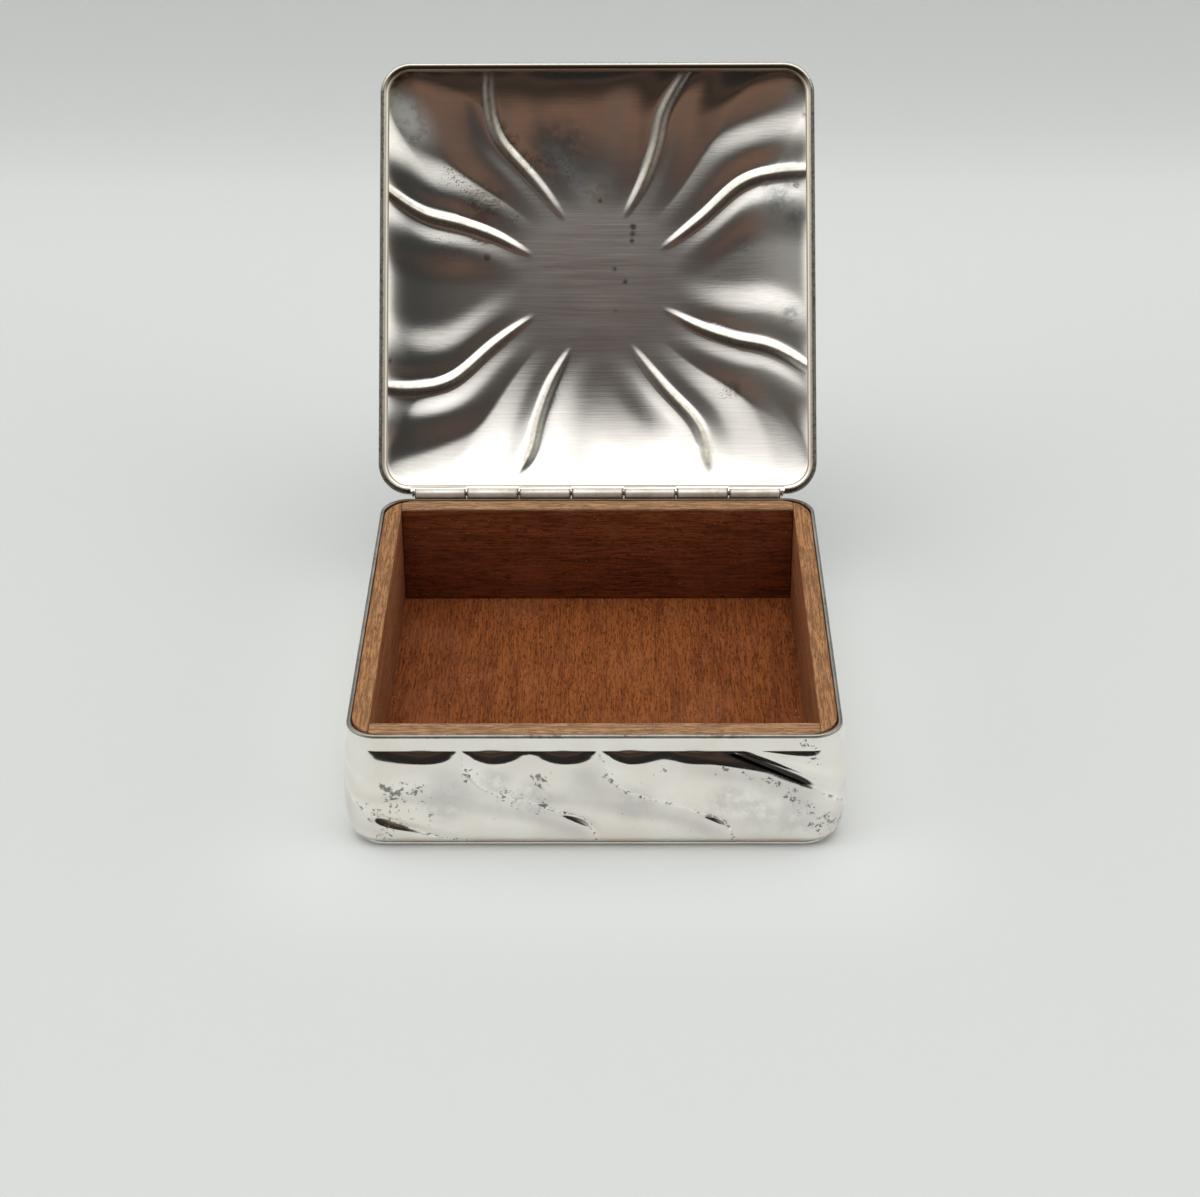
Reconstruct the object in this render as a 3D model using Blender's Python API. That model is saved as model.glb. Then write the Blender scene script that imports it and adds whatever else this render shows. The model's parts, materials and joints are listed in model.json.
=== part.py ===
"""A square silver cigarette box: swirl-fluted walls and lid, a wooden lining, a seven-knuckle hinge.

Metres, +Z up. The origin is the middle of the underside, the front faces -Y, and the lid stands open."""

import math

import bmesh
import bpy
from mathutils import Vector

# Sheet and clearances
sheet = 0.0007
seat_gap = 0.0003
running_gap = 0.0005
cut_overrun = 0.0010

# Body, square in plan
body_width = 0.1000
body_height = 0.0273
body_corner = 0.0065
body_rim_width = 0.0009
body_rim_height = 0.0006
rim_edge = 0.00015

# Base plate
base_thickness = 0.0011
base_inset = 0.0008
base_corner = 0.0065
base_edge = 0.0003

# Fluted wall
plain_band = 0.0036
wall_bulge = 0.0013
wall_tuck = 0.0008
tuck_height = 0.0024
scallop_reach = 0.0038
scallop_top = 0.0020
scallop_foot = 0.0140
scallop_depth_shares = (0.53, 0.34)
corner_flute = 2
corner_dip_reach = 0.0050
corner_dip_share = 0.62
corner_dip_steepness = 4
corner_start = 0.0330
corner_end = 0.0500

# Crease places along one wall from its middle, at the shoulder, and how far each moves on the way down
first_crease = -0.0270
middle_crease = 0.0010
last_crease = 0.0270
crease_travel = 0.0272
corner_crease_travel = 0.0490

# Crease section: a narrow crease, and on the lid a broad, shallow valley on each side of it
reaches_before = (0.0015, 0.0014, 0.0020)
reaches_after = (0.0018, 0.0018, 0.0026)
shoulder_reaches_before = (0.0080, 0.0076, 0.0032)
shoulder_reaches_after = (0.0050, 0.0050, 0.0040)
wall_crease_steepness = 1.6
corner_fade_share = 0.70
lid_crease_reach = 0.0017
lid_crease_steepness = 1.25
valley_start = 0.0022
valley_middle = 0.0080
valley_end = 0.0185

# Lid
lid_width = 0.10215
lid_corner = 0.0073
lid_rise = 0.0080
lid_band = 0.0030
lid_rim_width = 0.0014
lid_rim_slope = 0.0007
lid_rim_height = 0.0010
lid_crease_depth = 0.00052
lid_valley_fall = 0.00032
lid_valley_rise = 0.00066
hinge_fade_start = 0.0030
hinge_fade_end = 0.0095
least_reach_share = 0.45
least_spread_share = 0.3
lid_open_degrees = 124.5
closing_gap = 0.0003

# Hinge
axis_rise = 0.0006
axis_setback = 0.00095
knuckle_radius = 0.00115
knuckle_bore = 0.00075
knuckle_length = 0.01185
knuckle_space = 0.00035
knuckle_count = 7
pin_radius = 0.00045
pin_head_radius = 0.00085
pin_head_length = 0.0004
bearer_depth = 0.0016
bearer_height = 0.0017
bearer_drop = 0.0004

# Wooden lining
side_board = 0.0037
end_board = 0.0041
floor_board = 0.0017
floor_margin = 0.0022
lining_drop = 0.0002
lining_corner = 0.0070

# Mesh counts
corner_segments = 7
knuckle_segments = 20
sliver_share = 0.01
corner_crowding = 2.5

# The bulge of a wall flute, from the base up to the shoulder, as (height share, bulge share)
wall_bulge_shares = (
    (0.0, 0.0), (0.08, 0.48), (0.20, 0.86), (0.36, 1.0), (0.60, 1.0), (0.805, 1.0), (0.866, 0.905), (0.910, 0.708),
    (0.955, 0.407), (0.978, 0.217), (1.0, 0.0),
)
corner_bulge_shares = (
    (0.0, 0.0), (0.08, 0.48), (0.20, 0.86), (0.36, 1.0), (0.50, 1.0), (0.60, 0.95), (0.70, 0.83), (0.80, 0.62),
    (0.90, 0.33), (1.0, 0.0),
)
wall_row_shares = (0.0, 0.03, 0.07, 0.13, 0.22, 0.31, 0.40, 0.48, 0.57, 0.67, 0.77, 0.85, 0.91, 0.96, 1.0)

# How deep a wall's creases are at each height, as (height share, depth share)
wall_crease_shares = (
    (0.0, 0.06), (0.08, 0.20), (0.14, 0.42), (0.21, 0.64), (0.28, 0.66), (0.35, 0.36), (0.42, 0.13), (0.50, 0.09),
    (0.58, 0.16), (0.66, 0.34), (0.74, 0.54), (0.82, 0.64), (0.90, 0.66), (1.0, 0.66),
)

# How deep each of a wall's three creases is beside the others, low on the wall and at its shoulder
low_depth_shares = (1.0, 0.85, 1.35)
high_depth_shares = (1.0, 1.0, 0.78)
shoulder_start_share = 0.50
shoulder_end_share = 0.80
slant_step_share = 0.01

# How far the creases have moved along the wall at each height, as (height share, travel share)
crease_travel_shares = (
    (0.0, 1.0), (0.15, 0.99), (0.30, 0.875), (0.45, 0.575), (0.56, 0.265), (0.66, 0.125), (0.80, 0.05), (1.0, 0.0),
)

# How far the crease that rounds the corner has moved at each height, as (height share, travel share)
corner_travel_shares = ((0.0, 1.0), (0.05, 0.85), (0.15, 0.69), (0.33, 0.52), (0.63, 0.35), (0.76, 0.25), (1.0, 0.0))
wall_steps = (6, 10, 10)

# The two lid creases that repeat at each quarter turn, as (level share, angle in degrees from the side's middle)
lid_crease_angles = (
    ((0.28, -27.5), (0.50, -31.6), (0.67, -34.4), (0.82, -31.4), (1.0, -26.6)),
    ((0.28, 22.0), (0.45, 24.3), (0.62, 23.2), (0.80, 21.2), (1.0, 23.2)),
)
lid_level_shares = (1.0, 0.985, 0.955, 0.91, 0.85, 0.78, 0.70, 0.62, 0.54, 0.46, 0.38, 0.30)
lid_crease_depth_shares = (
    (0.0, 0.0), (0.31, 0.0), (0.38, 0.38), (0.48, 0.76), (0.64, 1.0), (0.90, 1.0), (0.97, 0.70), (1.0, 0.0),
)
lid_valley_shares = ((0.0, 0.0), (0.34, 0.0), (0.52, 0.36), (0.74, 0.90), (0.88, 1.0), (0.97, 0.80), (1.0, 0.0))
lid_steps = (8, 12)
crown_round = 2.3
crown_edge = 0.72
corner_growth_share = 0.8
normal_step_share = 0.004


def clear_scene():
    for obj in list(bpy.data.objects):
        bpy.data.objects.remove(obj)


def material(name, color, roughness, metallic):
    made = bpy.data.materials.new(name)
    made.use_nodes = True
    shader = made.node_tree.nodes["Principled BSDF"]
    shader.inputs["Base Color"].default_value = (*color, 1.0)
    shader.inputs["Roughness"].default_value = roughness
    shader.inputs["Metallic"].default_value = metallic
    made.diffuse_color = (*color, 1.0)
    return made


def add_object(name, mesh_builder, finish, parent=None, smooth_degrees=None):
    """A new object from a filled bmesh, with its own material."""
    mesh = bpy.data.meshes.new(name)
    mesh_builder.to_mesh(mesh)
    mesh_builder.free()
    obj = bpy.data.objects.new(name, mesh)
    bpy.context.scene.collection.objects.link(obj)
    mesh.materials.append(finish)
    obj.parent = parent
    if smooth_degrees is not None:
        mesh.shade_smooth()
        mesh.set_sharp_from_angle(angle=math.radians(smooth_degrees))
    return obj


def add_empty(name, location, tilt_degrees):
    empty = bpy.data.objects.new(name, None)
    bpy.context.scene.collection.objects.link(empty)
    empty.location = location
    empty.rotation_euler = (math.radians(tilt_degrees), 0.0, 0.0)
    return empty


def cut(obj, cutter):
    """Takes the cutter's volume out of the object."""
    cutter.hide_render = True
    cutter.display_type = "WIRE"
    modifier = obj.modifiers.new("cut_" + cutter.name, "BOOLEAN")
    modifier.operation = "DIFFERENCE"
    modifier.object = cutter


def bevel_edges(obj, width, segments=1):
    modifier = obj.modifiers.new("edges", "BEVEL")
    modifier.width = width
    modifier.segments = segments
    modifier.limit_method = "ANGLE"


def smooth_value(table, place):
    """A smooth curve through a short table of (place, value) pairs."""
    places = [row[0] for row in table]
    values = [row[1] for row in table]
    place = min(max(place, places[0]), places[-1])
    last = len(table) - 1
    slopes = []
    for i in range(len(table)):
        before, after = max(i - 1, 0), min(i + 1, last)
        slopes.append((values[after] - values[before]) / (places[after] - places[before]))
    i = min(max(sum(p <= place for p in places) - 1, 0), last - 1)
    span = places[i + 1] - places[i]
    t = (place - places[i]) / span
    rise = t * t * (3 - 2 * t)
    bend = span * (slopes[i] * t * (1 - t) ** 2 - slopes[i + 1] * t * t * (1 - t))
    return values[i] + (values[i + 1] - values[i]) * rise + bend


def quarter_length(half, corner):
    """The length of a rounded square's outline from the middle of one side to the middle of the next."""
    return 2 * (half - corner) + math.pi / 2 * corner


def outline_point(half, corner, run):
    """The point and the outward direction at a run along a rounded square, from the middle of its +X side."""
    length = quarter_length(half, corner)
    straight = half - corner
    quarter, run = divmod(run, length)
    if run < straight:
        point, outward = (half, run), (1.0, 0.0)
    elif run > length - straight:
        point, outward = (length - run, half), (0.0, 1.0)
    else:
        angle = (run - straight) / corner
        outward = (math.cos(angle), math.sin(angle))
        point = (straight + corner * outward[0], straight + corner * outward[1])
    for _ in range(int(quarter) % 4):
        point, outward = (-point[1], point[0]), (-outward[1], outward[0])
    return Vector((*point, 0.0)), Vector((*outward, 0.0))


def crowded(run, straight, bend, new_bend):
    """Moves a run to where it lies when each corner counts as new_bend long and not as bend."""
    quarter, run = divmod(run, 2 * straight + bend)
    if run > straight + bend:
        run += new_bend - bend
    elif run > straight:
        run = straight + (run - straight) * new_bend / bend
    return quarter * (2 * straight + new_bend) + run


def fluted_places(half, corner, creases, steps):
    """(run, flute, distance past its first crease, distance to its last) round a rounded square.

    creases are the runs of the creases in one quarter, and steps the columns in the flute after each one."""
    straight = half - corner
    bend = math.pi / 2 * corner
    wide_bend = bend * corner_crowding
    length = quarter_length(half, corner)
    places = []
    for quarter in range(4):
        for i, count in enumerate(steps):
            first = creases[i]
            last = creases[i + 1] if i + 1 < len(creases) else creases[0] + length
            low = crowded(first, straight, bend, wide_bend)
            high = crowded(last, straight, bend, wide_bend)
            for step in range(count):
                share = (1 - math.cos(math.pi * step / count)) / 2
                run = crowded(low + (high - low) * share, straight, wide_bend, bend)
                places.append((quarter * length + run, i, run - first, last - run))
    return places


def rise(value, low, high):
    """Rises smoothly from 0 at low to 1 at high."""
    t = min(max((value - low) / (high - low), 0.0), 1.0)
    return t * t * (3 - 2 * t)


def crease_fall(distance, reach, steepness):
    """How far the surface has sunk into a crease of a reach: 1 in the crease, 0 beyond it."""
    return max(0.0, 1 - distance / reach) ** steepness


def valley_fall(distance, spread):
    """How far the lid has sunk in the shallow valley beside a crease, all its distances times spread."""
    distance /= spread
    down = lid_valley_fall * rise(distance, valley_start, valley_middle)
    return down - lid_valley_rise * rise(distance, valley_middle, valley_end)


def skin(rings, capped):
    """A surface through rings of points, bottom to top, closed by a flat face where capped."""
    bm = bmesh.new()
    rows = [[bm.verts.new(point) for point in ring] for ring in rings]
    for low, high in zip(rows, rows[1:]):
        for i in range(len(low)):
            j = (i + 1) % len(low)
            bm.faces.new((low[i], low[j], high[j], high[i]))
    if capped:
        bm.faces.new(rows[-1])
    return bm


def thicken(obj):
    """Gives a skin the sheet's thickness, inwards."""
    modifier = obj.modifiers.new("sheet", "SOLIDIFY")
    modifier.thickness = sheet
    modifier.offset = -1.0
    modifier.use_even_offset = True


def corner_runs(half, corner):
    """The runs of an outline's corner points, enough to draw its four arcs."""
    straight = half - corner
    bend = math.pi / 2 * corner
    length = quarter_length(half, corner)
    shares = [i / corner_segments for i in range(corner_segments + 1)]
    return [quarter * length + straight + bend * share for quarter in range(4) for share in shares]


def hoop(half, corner, section, centre=(0.0, 0.0)):
    """A ring swept round a rounded square. The section is (inset, height) points, counter-clockwise as cut at +X."""
    bm = bmesh.new()
    loops = []
    for run in corner_runs(half, corner):
        point, outward = outline_point(half, corner, run)
        loop = []
        for inset, height in section:
            place = point - outward * inset
            loop.append(bm.verts.new((place.x + centre[0], place.y + centre[1], height)))
        loops.append(loop)
    for i, loop in enumerate(loops):
        following = loops[(i + 1) % len(loops)]
        for j in range(len(loop)):
            k = (j + 1) % len(loop)
            bm.faces.new((loop[j], loop[k], following[k], following[j]))
    bmesh.ops.recalc_face_normals(bm, faces=bm.faces)
    return bm


def plate(half, corner, low, high):
    """A rounded square plate between two heights."""
    bm = bmesh.new()
    ring = []
    for run in corner_runs(half, corner):
        point, _ = outline_point(half, corner, run)
        ring.append(bm.verts.new((point.x, point.y, low)))
    face = bm.faces.new(ring)
    raised = bmesh.ops.extrude_face_region(bm, geom=[face])["geom"]
    moved = [item for item in raised if isinstance(item, bmesh.types.BMVert)]
    bmesh.ops.translate(bm, verts=moved, vec=(0.0, 0.0, high - low))
    bmesh.ops.recalc_face_normals(bm, faces=bm.faces)
    return bm


def turned(profile):
    """A solid of revolution about X from a closed profile of (place along X, radius) points."""
    bm = bmesh.new()
    verts = [bm.verts.new((x, 0.0, radius)) for x, radius in profile]
    edges = [bm.edges.new((verts[i], verts[(i + 1) % len(verts)])) for i in range(len(verts))]
    bmesh.ops.spin(
        bm, geom=verts + edges, cent=(0.0, 0.0, 0.0), axis=(1.0, 0.0, 0.0),
        angle=2 * math.pi, steps=knuckle_segments, use_merge=True,
    )
    near = pin_radius / knuckle_segments
    on_axis = [vert for vert in bm.verts if Vector((vert.co.y, vert.co.z)).length < near]
    bmesh.ops.remove_doubles(bm, verts=on_axis, dist=near)
    bmesh.ops.dissolve_degenerate(bm, edges=bm.edges, dist=near * sliver_share)
    bmesh.ops.recalc_face_normals(bm, faces=bm.faces)
    return bm


def wall_creases(share):
    """The runs of one wall's three creases at a share of the fluted height."""
    travel = crease_travel * smooth_value(crease_travel_shares, share)
    return (
        first_crease + travel,
        middle_crease + travel,
        last_crease + corner_crease_travel * smooth_value(corner_travel_shares, share),
    )


def crease_slants(share, tall):
    """The distance from each of a wall's creases, beside the run to it, where the creases slant."""
    low, high = max(share - slant_step_share, 0.0), min(share + slant_step_share, 1.0)
    climb = tall * (high - low)
    return [1 / math.hypot(1.0, (b - a) / climb) for a, b in zip(wall_creases(low), wall_creases(high))]


def wall_crease_fall(distance, crease, lift, reaches, shoulder_reaches):
    """How far one side of a wall's crease has sunk, with lift 0 low on the wall and 1 at its shoulder."""
    reach = reaches[crease] + (shoulder_reaches[crease] - reaches[crease]) * lift
    depth_share = low_depth_shares[crease] + (high_depth_shares[crease] - low_depth_shares[crease]) * lift
    return depth_share * crease_fall(distance, reach, wall_crease_steepness)


def scallop(place, flute, past, below_shoulder):
    """The shallow dips under the shoulder: one in each of a wall's two whole flutes and one after its last crease."""
    middles = ((first_crease + middle_crease) / 2, (middle_crease + last_crease) / 2)
    dips = (
        depth_share * math.exp(-(((place - middle) / scallop_reach) ** 2))
        for middle, depth_share in zip(middles, scallop_depth_shares)
    )
    deepest = max(dips)
    if flute == corner_flute:
        reached = past / corner_dip_reach
        deepest = max(deepest, corner_dip_share * (reached * math.exp(1 - reached)) ** corner_dip_steepness)
    return deepest * (1 - rise(below_shoulder, scallop_top, scallop_foot))


def build_body_wall(finish):
    """The fluted band: a plain strip under the rim, then twelve flutes that swirl down to the base."""
    half = body_width / 2
    length = quarter_length(half, body_corner)
    foot = base_thickness + seat_gap
    shoulder = body_height - plain_band
    top = body_height - body_rim_height - seat_gap
    rings = []
    for share in wall_row_shares:
        height = foot + (shoulder - foot) * share
        side_share, corner_share = (smooth_value(table, share) for table in (wall_bulge_shares, corner_bulge_shares))
        tucked = max(0.0, 1 - (height - foot) / tuck_height)
        tuck = wall_tuck * (1 - math.sqrt(1 - tucked * tucked))
        depth = smooth_value(wall_crease_shares, share)
        lift = rise(share, shoulder_start_share, shoulder_end_share)
        slants = crease_slants(share, shoulder - foot)
        ring = []
        for run, flute, past, ahead in fluted_places(half, body_corner, wall_creases(share), wall_steps):
            point, outward = outline_point(half, body_corner, run)
            along = (run + length / 2) % length - length / 2
            bulge_share = side_share + (corner_share - side_share) * rise(abs(along), corner_start, corner_end)
            ahead_crease = (flute + 1) % len(wall_steps)
            dip = scallop(along, flute, past, shoulder - height)
            past, ahead = past * slants[flute], ahead * slants[ahead_crease]
            after = wall_crease_fall(past, flute, lift, reaches_after, shoulder_reaches_after)
            before = wall_crease_fall(ahead, ahead_crease, lift, reaches_before, shoulder_reaches_before)
            fall = depth * max(after, before) * (1 - corner_fade_share * 2 * abs(outward.x * outward.y))
            place = point + outward * (wall_bulge * bulge_share * (1 - fall) * (1 - dip) - tuck)
            ring.append((place.x, place.y, height))
        rings.append(ring)
    rings.append([(x, y, top) for x, y, _ in rings[-1]])
    wall = add_object("body_wall", skin(rings, capped=False), finish, smooth_degrees=40)
    thicken(wall)
    return wall


def lid_outline(level):
    """The half width and corner radius of the lid's ring at a level: 1 at the rim, rounder towards the middle."""
    half = lid_width / 2 * level
    rim_share = lid_corner / (lid_width / 2)
    return half, half * (rim_share + (1 - rim_share) * (1 - level) ** corner_growth_share)


def run_at_angle(half, corner, degrees):
    """The run at which a ray from the middle meets the outline, within an eighth turn of the +X side's middle."""
    side = math.copysign(1.0, degrees)
    slope = math.tan(math.radians(abs(degrees)))
    straight = half - corner
    if half * slope <= straight:
        return side * half * slope
    a = 1 + slope * slope
    b = straight * (1 + slope)
    x = (b + math.sqrt(b * b - a * (2 * straight * straight - corner * corner))) / a
    return side * (straight + corner * math.atan2(x * slope - straight, x - straight))


def crown_height(level):
    """The lid's height above its band at a level, flat in the middle and steep at the shoulder."""
    start = lid_level_shares[-1]
    share = max(0.0, (level - start) / (1 - start))
    return (lid_rise - lid_band) * (1 - share**crown_round) ** crown_edge


def crown_normal(level, outward):
    """The direction away from the lid's smooth crown at a level."""
    low, high = min(level + normal_step_share, 1.0), max(level - normal_step_share, 0.0)
    run = lid_width / 2 * (low - high)
    fall = crown_height(high) - crown_height(low)
    return (outward * fall + Vector((0.0, 0.0, run))).normalized()


def build_lid_shell(finish, parent, rim_plane):
    """The lid: a plain band, a shoulder, and eight flutes that swirl out of a flat middle."""
    centre = Vector((0.0, -lid_width / 2, 0.0))
    rings = []
    for level in lid_level_shares:
        half, corner = lid_outline(level)
        share = max(0.0, smooth_value(lid_crease_depth_shares, level))
        depth = lid_crease_depth * share
        reach = lid_crease_reach * (least_reach_share + (1 - least_reach_share) * share)
        valley = max(0.0, smooth_value(lid_valley_shares, level))
        spread = least_spread_share + (1 - least_spread_share) * level
        height = rim_plane + lid_band + crown_height(level)
        creases = [run_at_angle(half, corner, smooth_value(table, level)) for table in lid_crease_angles]
        ring = []
        for run, flute, past, ahead in fluted_places(half, corner, creases, lid_steps):
            point, outward = outline_point(half, corner, run)
            distance = min(past, ahead)
            fade = rise(-(centre + point).y, hinge_fade_start, hinge_fade_end)
            sunk = fade * depth * crease_fall(distance, reach, lid_crease_steepness)
            sunk += valley * valley_fall(distance, spread)
            ring.append(centre + point + Vector((0.0, 0.0, height)) - crown_normal(level, outward) * sunk)
        rings.append(ring)
    foot = rim_plane + lid_rim_height + seat_gap
    rings.insert(0, [Vector((point.x, point.y, foot)) for point in rings[0]])
    lid = add_object("lid_shell", skin(rings, capped=True), finish, parent, smooth_degrees=40)
    thicken(lid)
    return lid


def build_body_rim(finish):
    """The wire that edges the body's mouth."""
    low, high = body_height - body_rim_height, body_height
    inner = body_rim_width
    section = (
        (0.0, low), (0.0, high - rim_edge), (rim_edge, high), (inner - rim_edge, high),
        (inner, high - rim_edge), (inner, low),
    )
    return add_object("body_rim", hoop(body_width / 2, body_corner, section), finish, smooth_degrees=25)


def build_lid_rim(finish, parent, rim_plane):
    """The lid's edging: a flat face that meets the body's rim, and a slope up into the lid."""
    high = rim_plane + lid_rim_height
    inner = lid_rim_width + lid_rim_slope
    section = (
        (0.0, high), (0.0, rim_plane + rim_edge), (rim_edge, rim_plane), (lid_rim_width, rim_plane), (inner, high),
    )
    ring = hoop(lid_width / 2, lid_corner, section, (0.0, -lid_width / 2))
    return add_object("lid_rim", ring, finish, parent, smooth_degrees=25)


def build_base_plate(finish):
    half = body_width / 2 - base_inset
    base = add_object("base_plate", plate(half, base_corner, 0.0, base_thickness), finish)
    bevel_edges(base, base_edge, 2)
    return base


def knuckle_starts():
    """Where each knuckle begins along X, left to right."""
    pitch = knuckle_length + knuckle_space
    start = -(knuckle_count * pitch - knuckle_space) / 2
    return [start + i * pitch for i in range(knuckle_count)]


def build_knuckles(finish, axis_place, lid_parent):
    """Seven tubes on one pin, the odd ones on the body and the even ones on the lid."""
    profile = (
        (0.0, knuckle_bore), (knuckle_length, knuckle_bore),
        (knuckle_length, knuckle_radius), (0.0, knuckle_radius),
    )
    for i, start in enumerate(knuckle_starts()):
        on_body = i % 2 == 0
        name = f"{'body' if on_body else 'lid'}_knuckle_{i // 2 + 1}"
        tube = add_object(name, turned(profile), finish, None if on_body else lid_parent, smooth_degrees=40)
        tube.location = Vector((start, 0.0, 0.0)) + (axis_place if on_body else Vector())


def build_pin(finish, axis_place):
    """The pin through the knuckles, with both ends spread into small heads."""
    first = knuckle_starts()[0] - seat_gap
    last = -first
    head = pin_head_length
    shoulder_share = 0.7
    profile = (
        (first - head, 0.0), (first - head, pin_head_radius * shoulder_share),
        (first - head / 2, pin_head_radius), (first, pin_head_radius), (first, pin_radius),
        (last, pin_radius), (last, pin_head_radius), (last + head / 2, pin_head_radius),
        (last + head, pin_head_radius * shoulder_share), (last + head, 0.0),
    )
    pin = add_object("hinge_pin", turned(profile), finish, smooth_degrees=40)
    pin.location = axis_place


def knuckle_cutter(name, first, last, radius, parent, axis_place):
    """A round bar on the hinge axis, as wide as the groove that it leaves."""
    profile = ((first, 0.0), (last, 0.0), (last, radius), (first, radius))
    bar = add_object(name, turned(profile), bpy.data.materials["silver"], parent)
    bar.location = axis_place
    bar.hide_render = True
    bar.display_type = "WIRE"
    return bar


def cut_hinge_grooves(body_rim, bearer, lid_shell, lid_rim, axis_place, lid_parent):
    """Grooves along the back edges: the body's seats its knuckles, the lid's clears them and seats its own."""
    starts = knuckle_starts()
    ends = pin_head_length + seat_gap * 2
    first, last = starts[0] - ends, -starts[0] + ends
    seat_radius = knuckle_radius + seat_gap
    body_bar = knuckle_cutter("body_groove", first, last, seat_radius, None, axis_place)
    cut(body_rim, body_bar)
    cut(bearer, body_bar)
    lid_bar = knuckle_cutter("lid_groove", first, last, seat_radius, lid_parent, Vector())
    cut(lid_rim, lid_bar)
    cut(lid_shell, lid_bar)
    for i in range(0, knuckle_count, 2):
        low = starts[i] - (ends if i == 0 else knuckle_space / 2)
        high = starts[i] + knuckle_length + (ends if i == knuckle_count - 1 else knuckle_space / 2)
        radius = knuckle_radius + running_gap
        notch = knuckle_cutter(f"lid_notch_{i // 2 + 1}", low, high, radius, lid_parent, Vector())
        cut(lid_rim, notch)
        cut(lid_shell, notch)


def block(low, high):
    """A box between two opposite corners."""
    bm = bmesh.new()
    bmesh.ops.create_cube(bm, size=1.0)
    for vert in bm.verts:
        vert.co = [a + (b - a) * (0.5 + side) for a, b, side in zip(low, high, vert.co)]
    return bm


def build_bearer(finish):
    """The strip under the knuckles on the back wall. Its outer edge is where the open lid stops."""
    half = -knuckle_starts()[0]
    front = body_width / 2 + seat_gap
    top = body_height - bearer_drop
    low = (-half, front, top - bearer_height)
    high = (half, front + bearer_depth, top)
    return add_object("hinge_bearer", block(low, high), finish)


def build_lining(side_finish, floor_finish):
    """Four boards and a floor. The side boards run the full depth and the others butt between them."""
    outer = body_width / 2 - sheet - seat_gap
    floor_low = base_thickness + seat_gap
    floor_top = floor_low + floor_board
    low = floor_top + seat_gap
    high = body_height - lining_drop
    frame = add_object("lining_frame_shape", plate(outer, lining_corner, low, high), side_finish)
    frame.hide_render = True
    frame.display_type = "WIRE"
    inner_x = outer - side_board
    inner_y = outer - end_board
    end_x = inner_x - seat_gap
    past = outer + cut_overrun
    under, over = low - cut_overrun, high + cut_overrun
    boards = {
        "lining_left": ((-past, -past, under), (-inner_x, past, over)),
        "lining_right": ((inner_x, -past, under), (past, past, over)),
        "lining_front": ((-end_x, -past, under), (end_x, -inner_y, over)),
        "lining_back": ((-end_x, inner_y, under), (end_x, past, over)),
    }
    for name, (first, last) in boards.items():
        board = add_object(name, block(first, last), side_finish)
        modifier = board.modifiers.new("fit", "BOOLEAN")
        modifier.operation = "INTERSECT"
        modifier.object = frame
    floor_half = body_width / 2 - floor_margin
    floor_corner = body_corner - floor_margin
    add_object("lining_floor", plate(floor_half, floor_corner, floor_low, floor_top), floor_finish)


def main():
    clear_scene()
    silver = material("silver", (0.86, 0.84, 0.80), 0.16, 1.0)
    wood = material("lining_wood", (0.30, 0.13, 0.06), 0.55, 0.0)
    floor_wood = material("floor_wood", (0.36, 0.16, 0.07), 0.55, 0.0)
    axis_place = Vector((0.0, body_width / 2 + axis_setback, body_height + axis_rise))
    rim_plane = closing_gap - axis_rise
    lid = add_empty("lid_axis", axis_place, -lid_open_degrees)

    build_base_plate(silver)
    build_body_wall(silver)
    body_rim = build_body_rim(silver)
    bearer = build_bearer(silver)
    build_lining(wood, floor_wood)
    lid_shell = build_lid_shell(silver, lid, rim_plane)
    lid_rim = build_lid_rim(silver, lid, rim_plane)
    build_knuckles(silver, axis_place, lid)
    build_pin(silver, axis_place)
    cut_hinge_grooves(body_rim, bearer, lid_shell, lid_rim, axis_place, lid)


main()
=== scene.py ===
"""Looks of a square silver cigarette box: pressed lid and walls, wire edgings, hinge and wooden lining.

Metres, +Z up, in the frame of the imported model. The lid stands open at rest."""

import json
import math
from functools import partialmethod

import bpy
from mathutils import Matrix, Vector, noise


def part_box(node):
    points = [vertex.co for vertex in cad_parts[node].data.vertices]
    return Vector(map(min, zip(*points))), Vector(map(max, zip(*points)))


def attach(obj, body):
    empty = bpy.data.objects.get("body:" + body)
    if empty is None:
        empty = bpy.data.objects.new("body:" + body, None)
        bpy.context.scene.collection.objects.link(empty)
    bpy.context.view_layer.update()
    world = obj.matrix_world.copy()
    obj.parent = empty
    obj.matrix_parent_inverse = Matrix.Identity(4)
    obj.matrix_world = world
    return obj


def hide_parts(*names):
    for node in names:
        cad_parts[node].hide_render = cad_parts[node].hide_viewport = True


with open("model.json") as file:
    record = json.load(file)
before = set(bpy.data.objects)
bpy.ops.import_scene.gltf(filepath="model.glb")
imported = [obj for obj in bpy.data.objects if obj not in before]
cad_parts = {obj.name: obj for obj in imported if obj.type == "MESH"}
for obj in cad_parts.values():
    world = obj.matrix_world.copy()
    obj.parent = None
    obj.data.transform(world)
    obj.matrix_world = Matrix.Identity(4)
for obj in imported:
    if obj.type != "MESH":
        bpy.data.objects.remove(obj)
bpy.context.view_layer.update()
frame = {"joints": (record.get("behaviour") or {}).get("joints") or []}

mm = 0.001

# Places taken from the frame
rim_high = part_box("body_rim")[1]
base_low, base_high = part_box("base_plate")
hinge = frame["joints"][0]
axis_place = Vector(hinge["pos_m"])
open_angle = math.radians(hinge["range_deg"][1])
body_half = rim_high.x
body_height = rim_high.z
lid_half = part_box("lid_rim")[1].x
to_open = Matrix.Translation(axis_place) @ Matrix.Rotation(-open_angle, 4, "X")

# Sheet and clearances
sheet = 0.7 * mm
seat_gap = 0.3 * mm
running_gap = 0.5 * mm
closing_gap = 0.3 * mm
seam_gap = 0.06 * mm
merge_reach = 0.0005 * mm
overrun = 1.0 * mm

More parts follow.
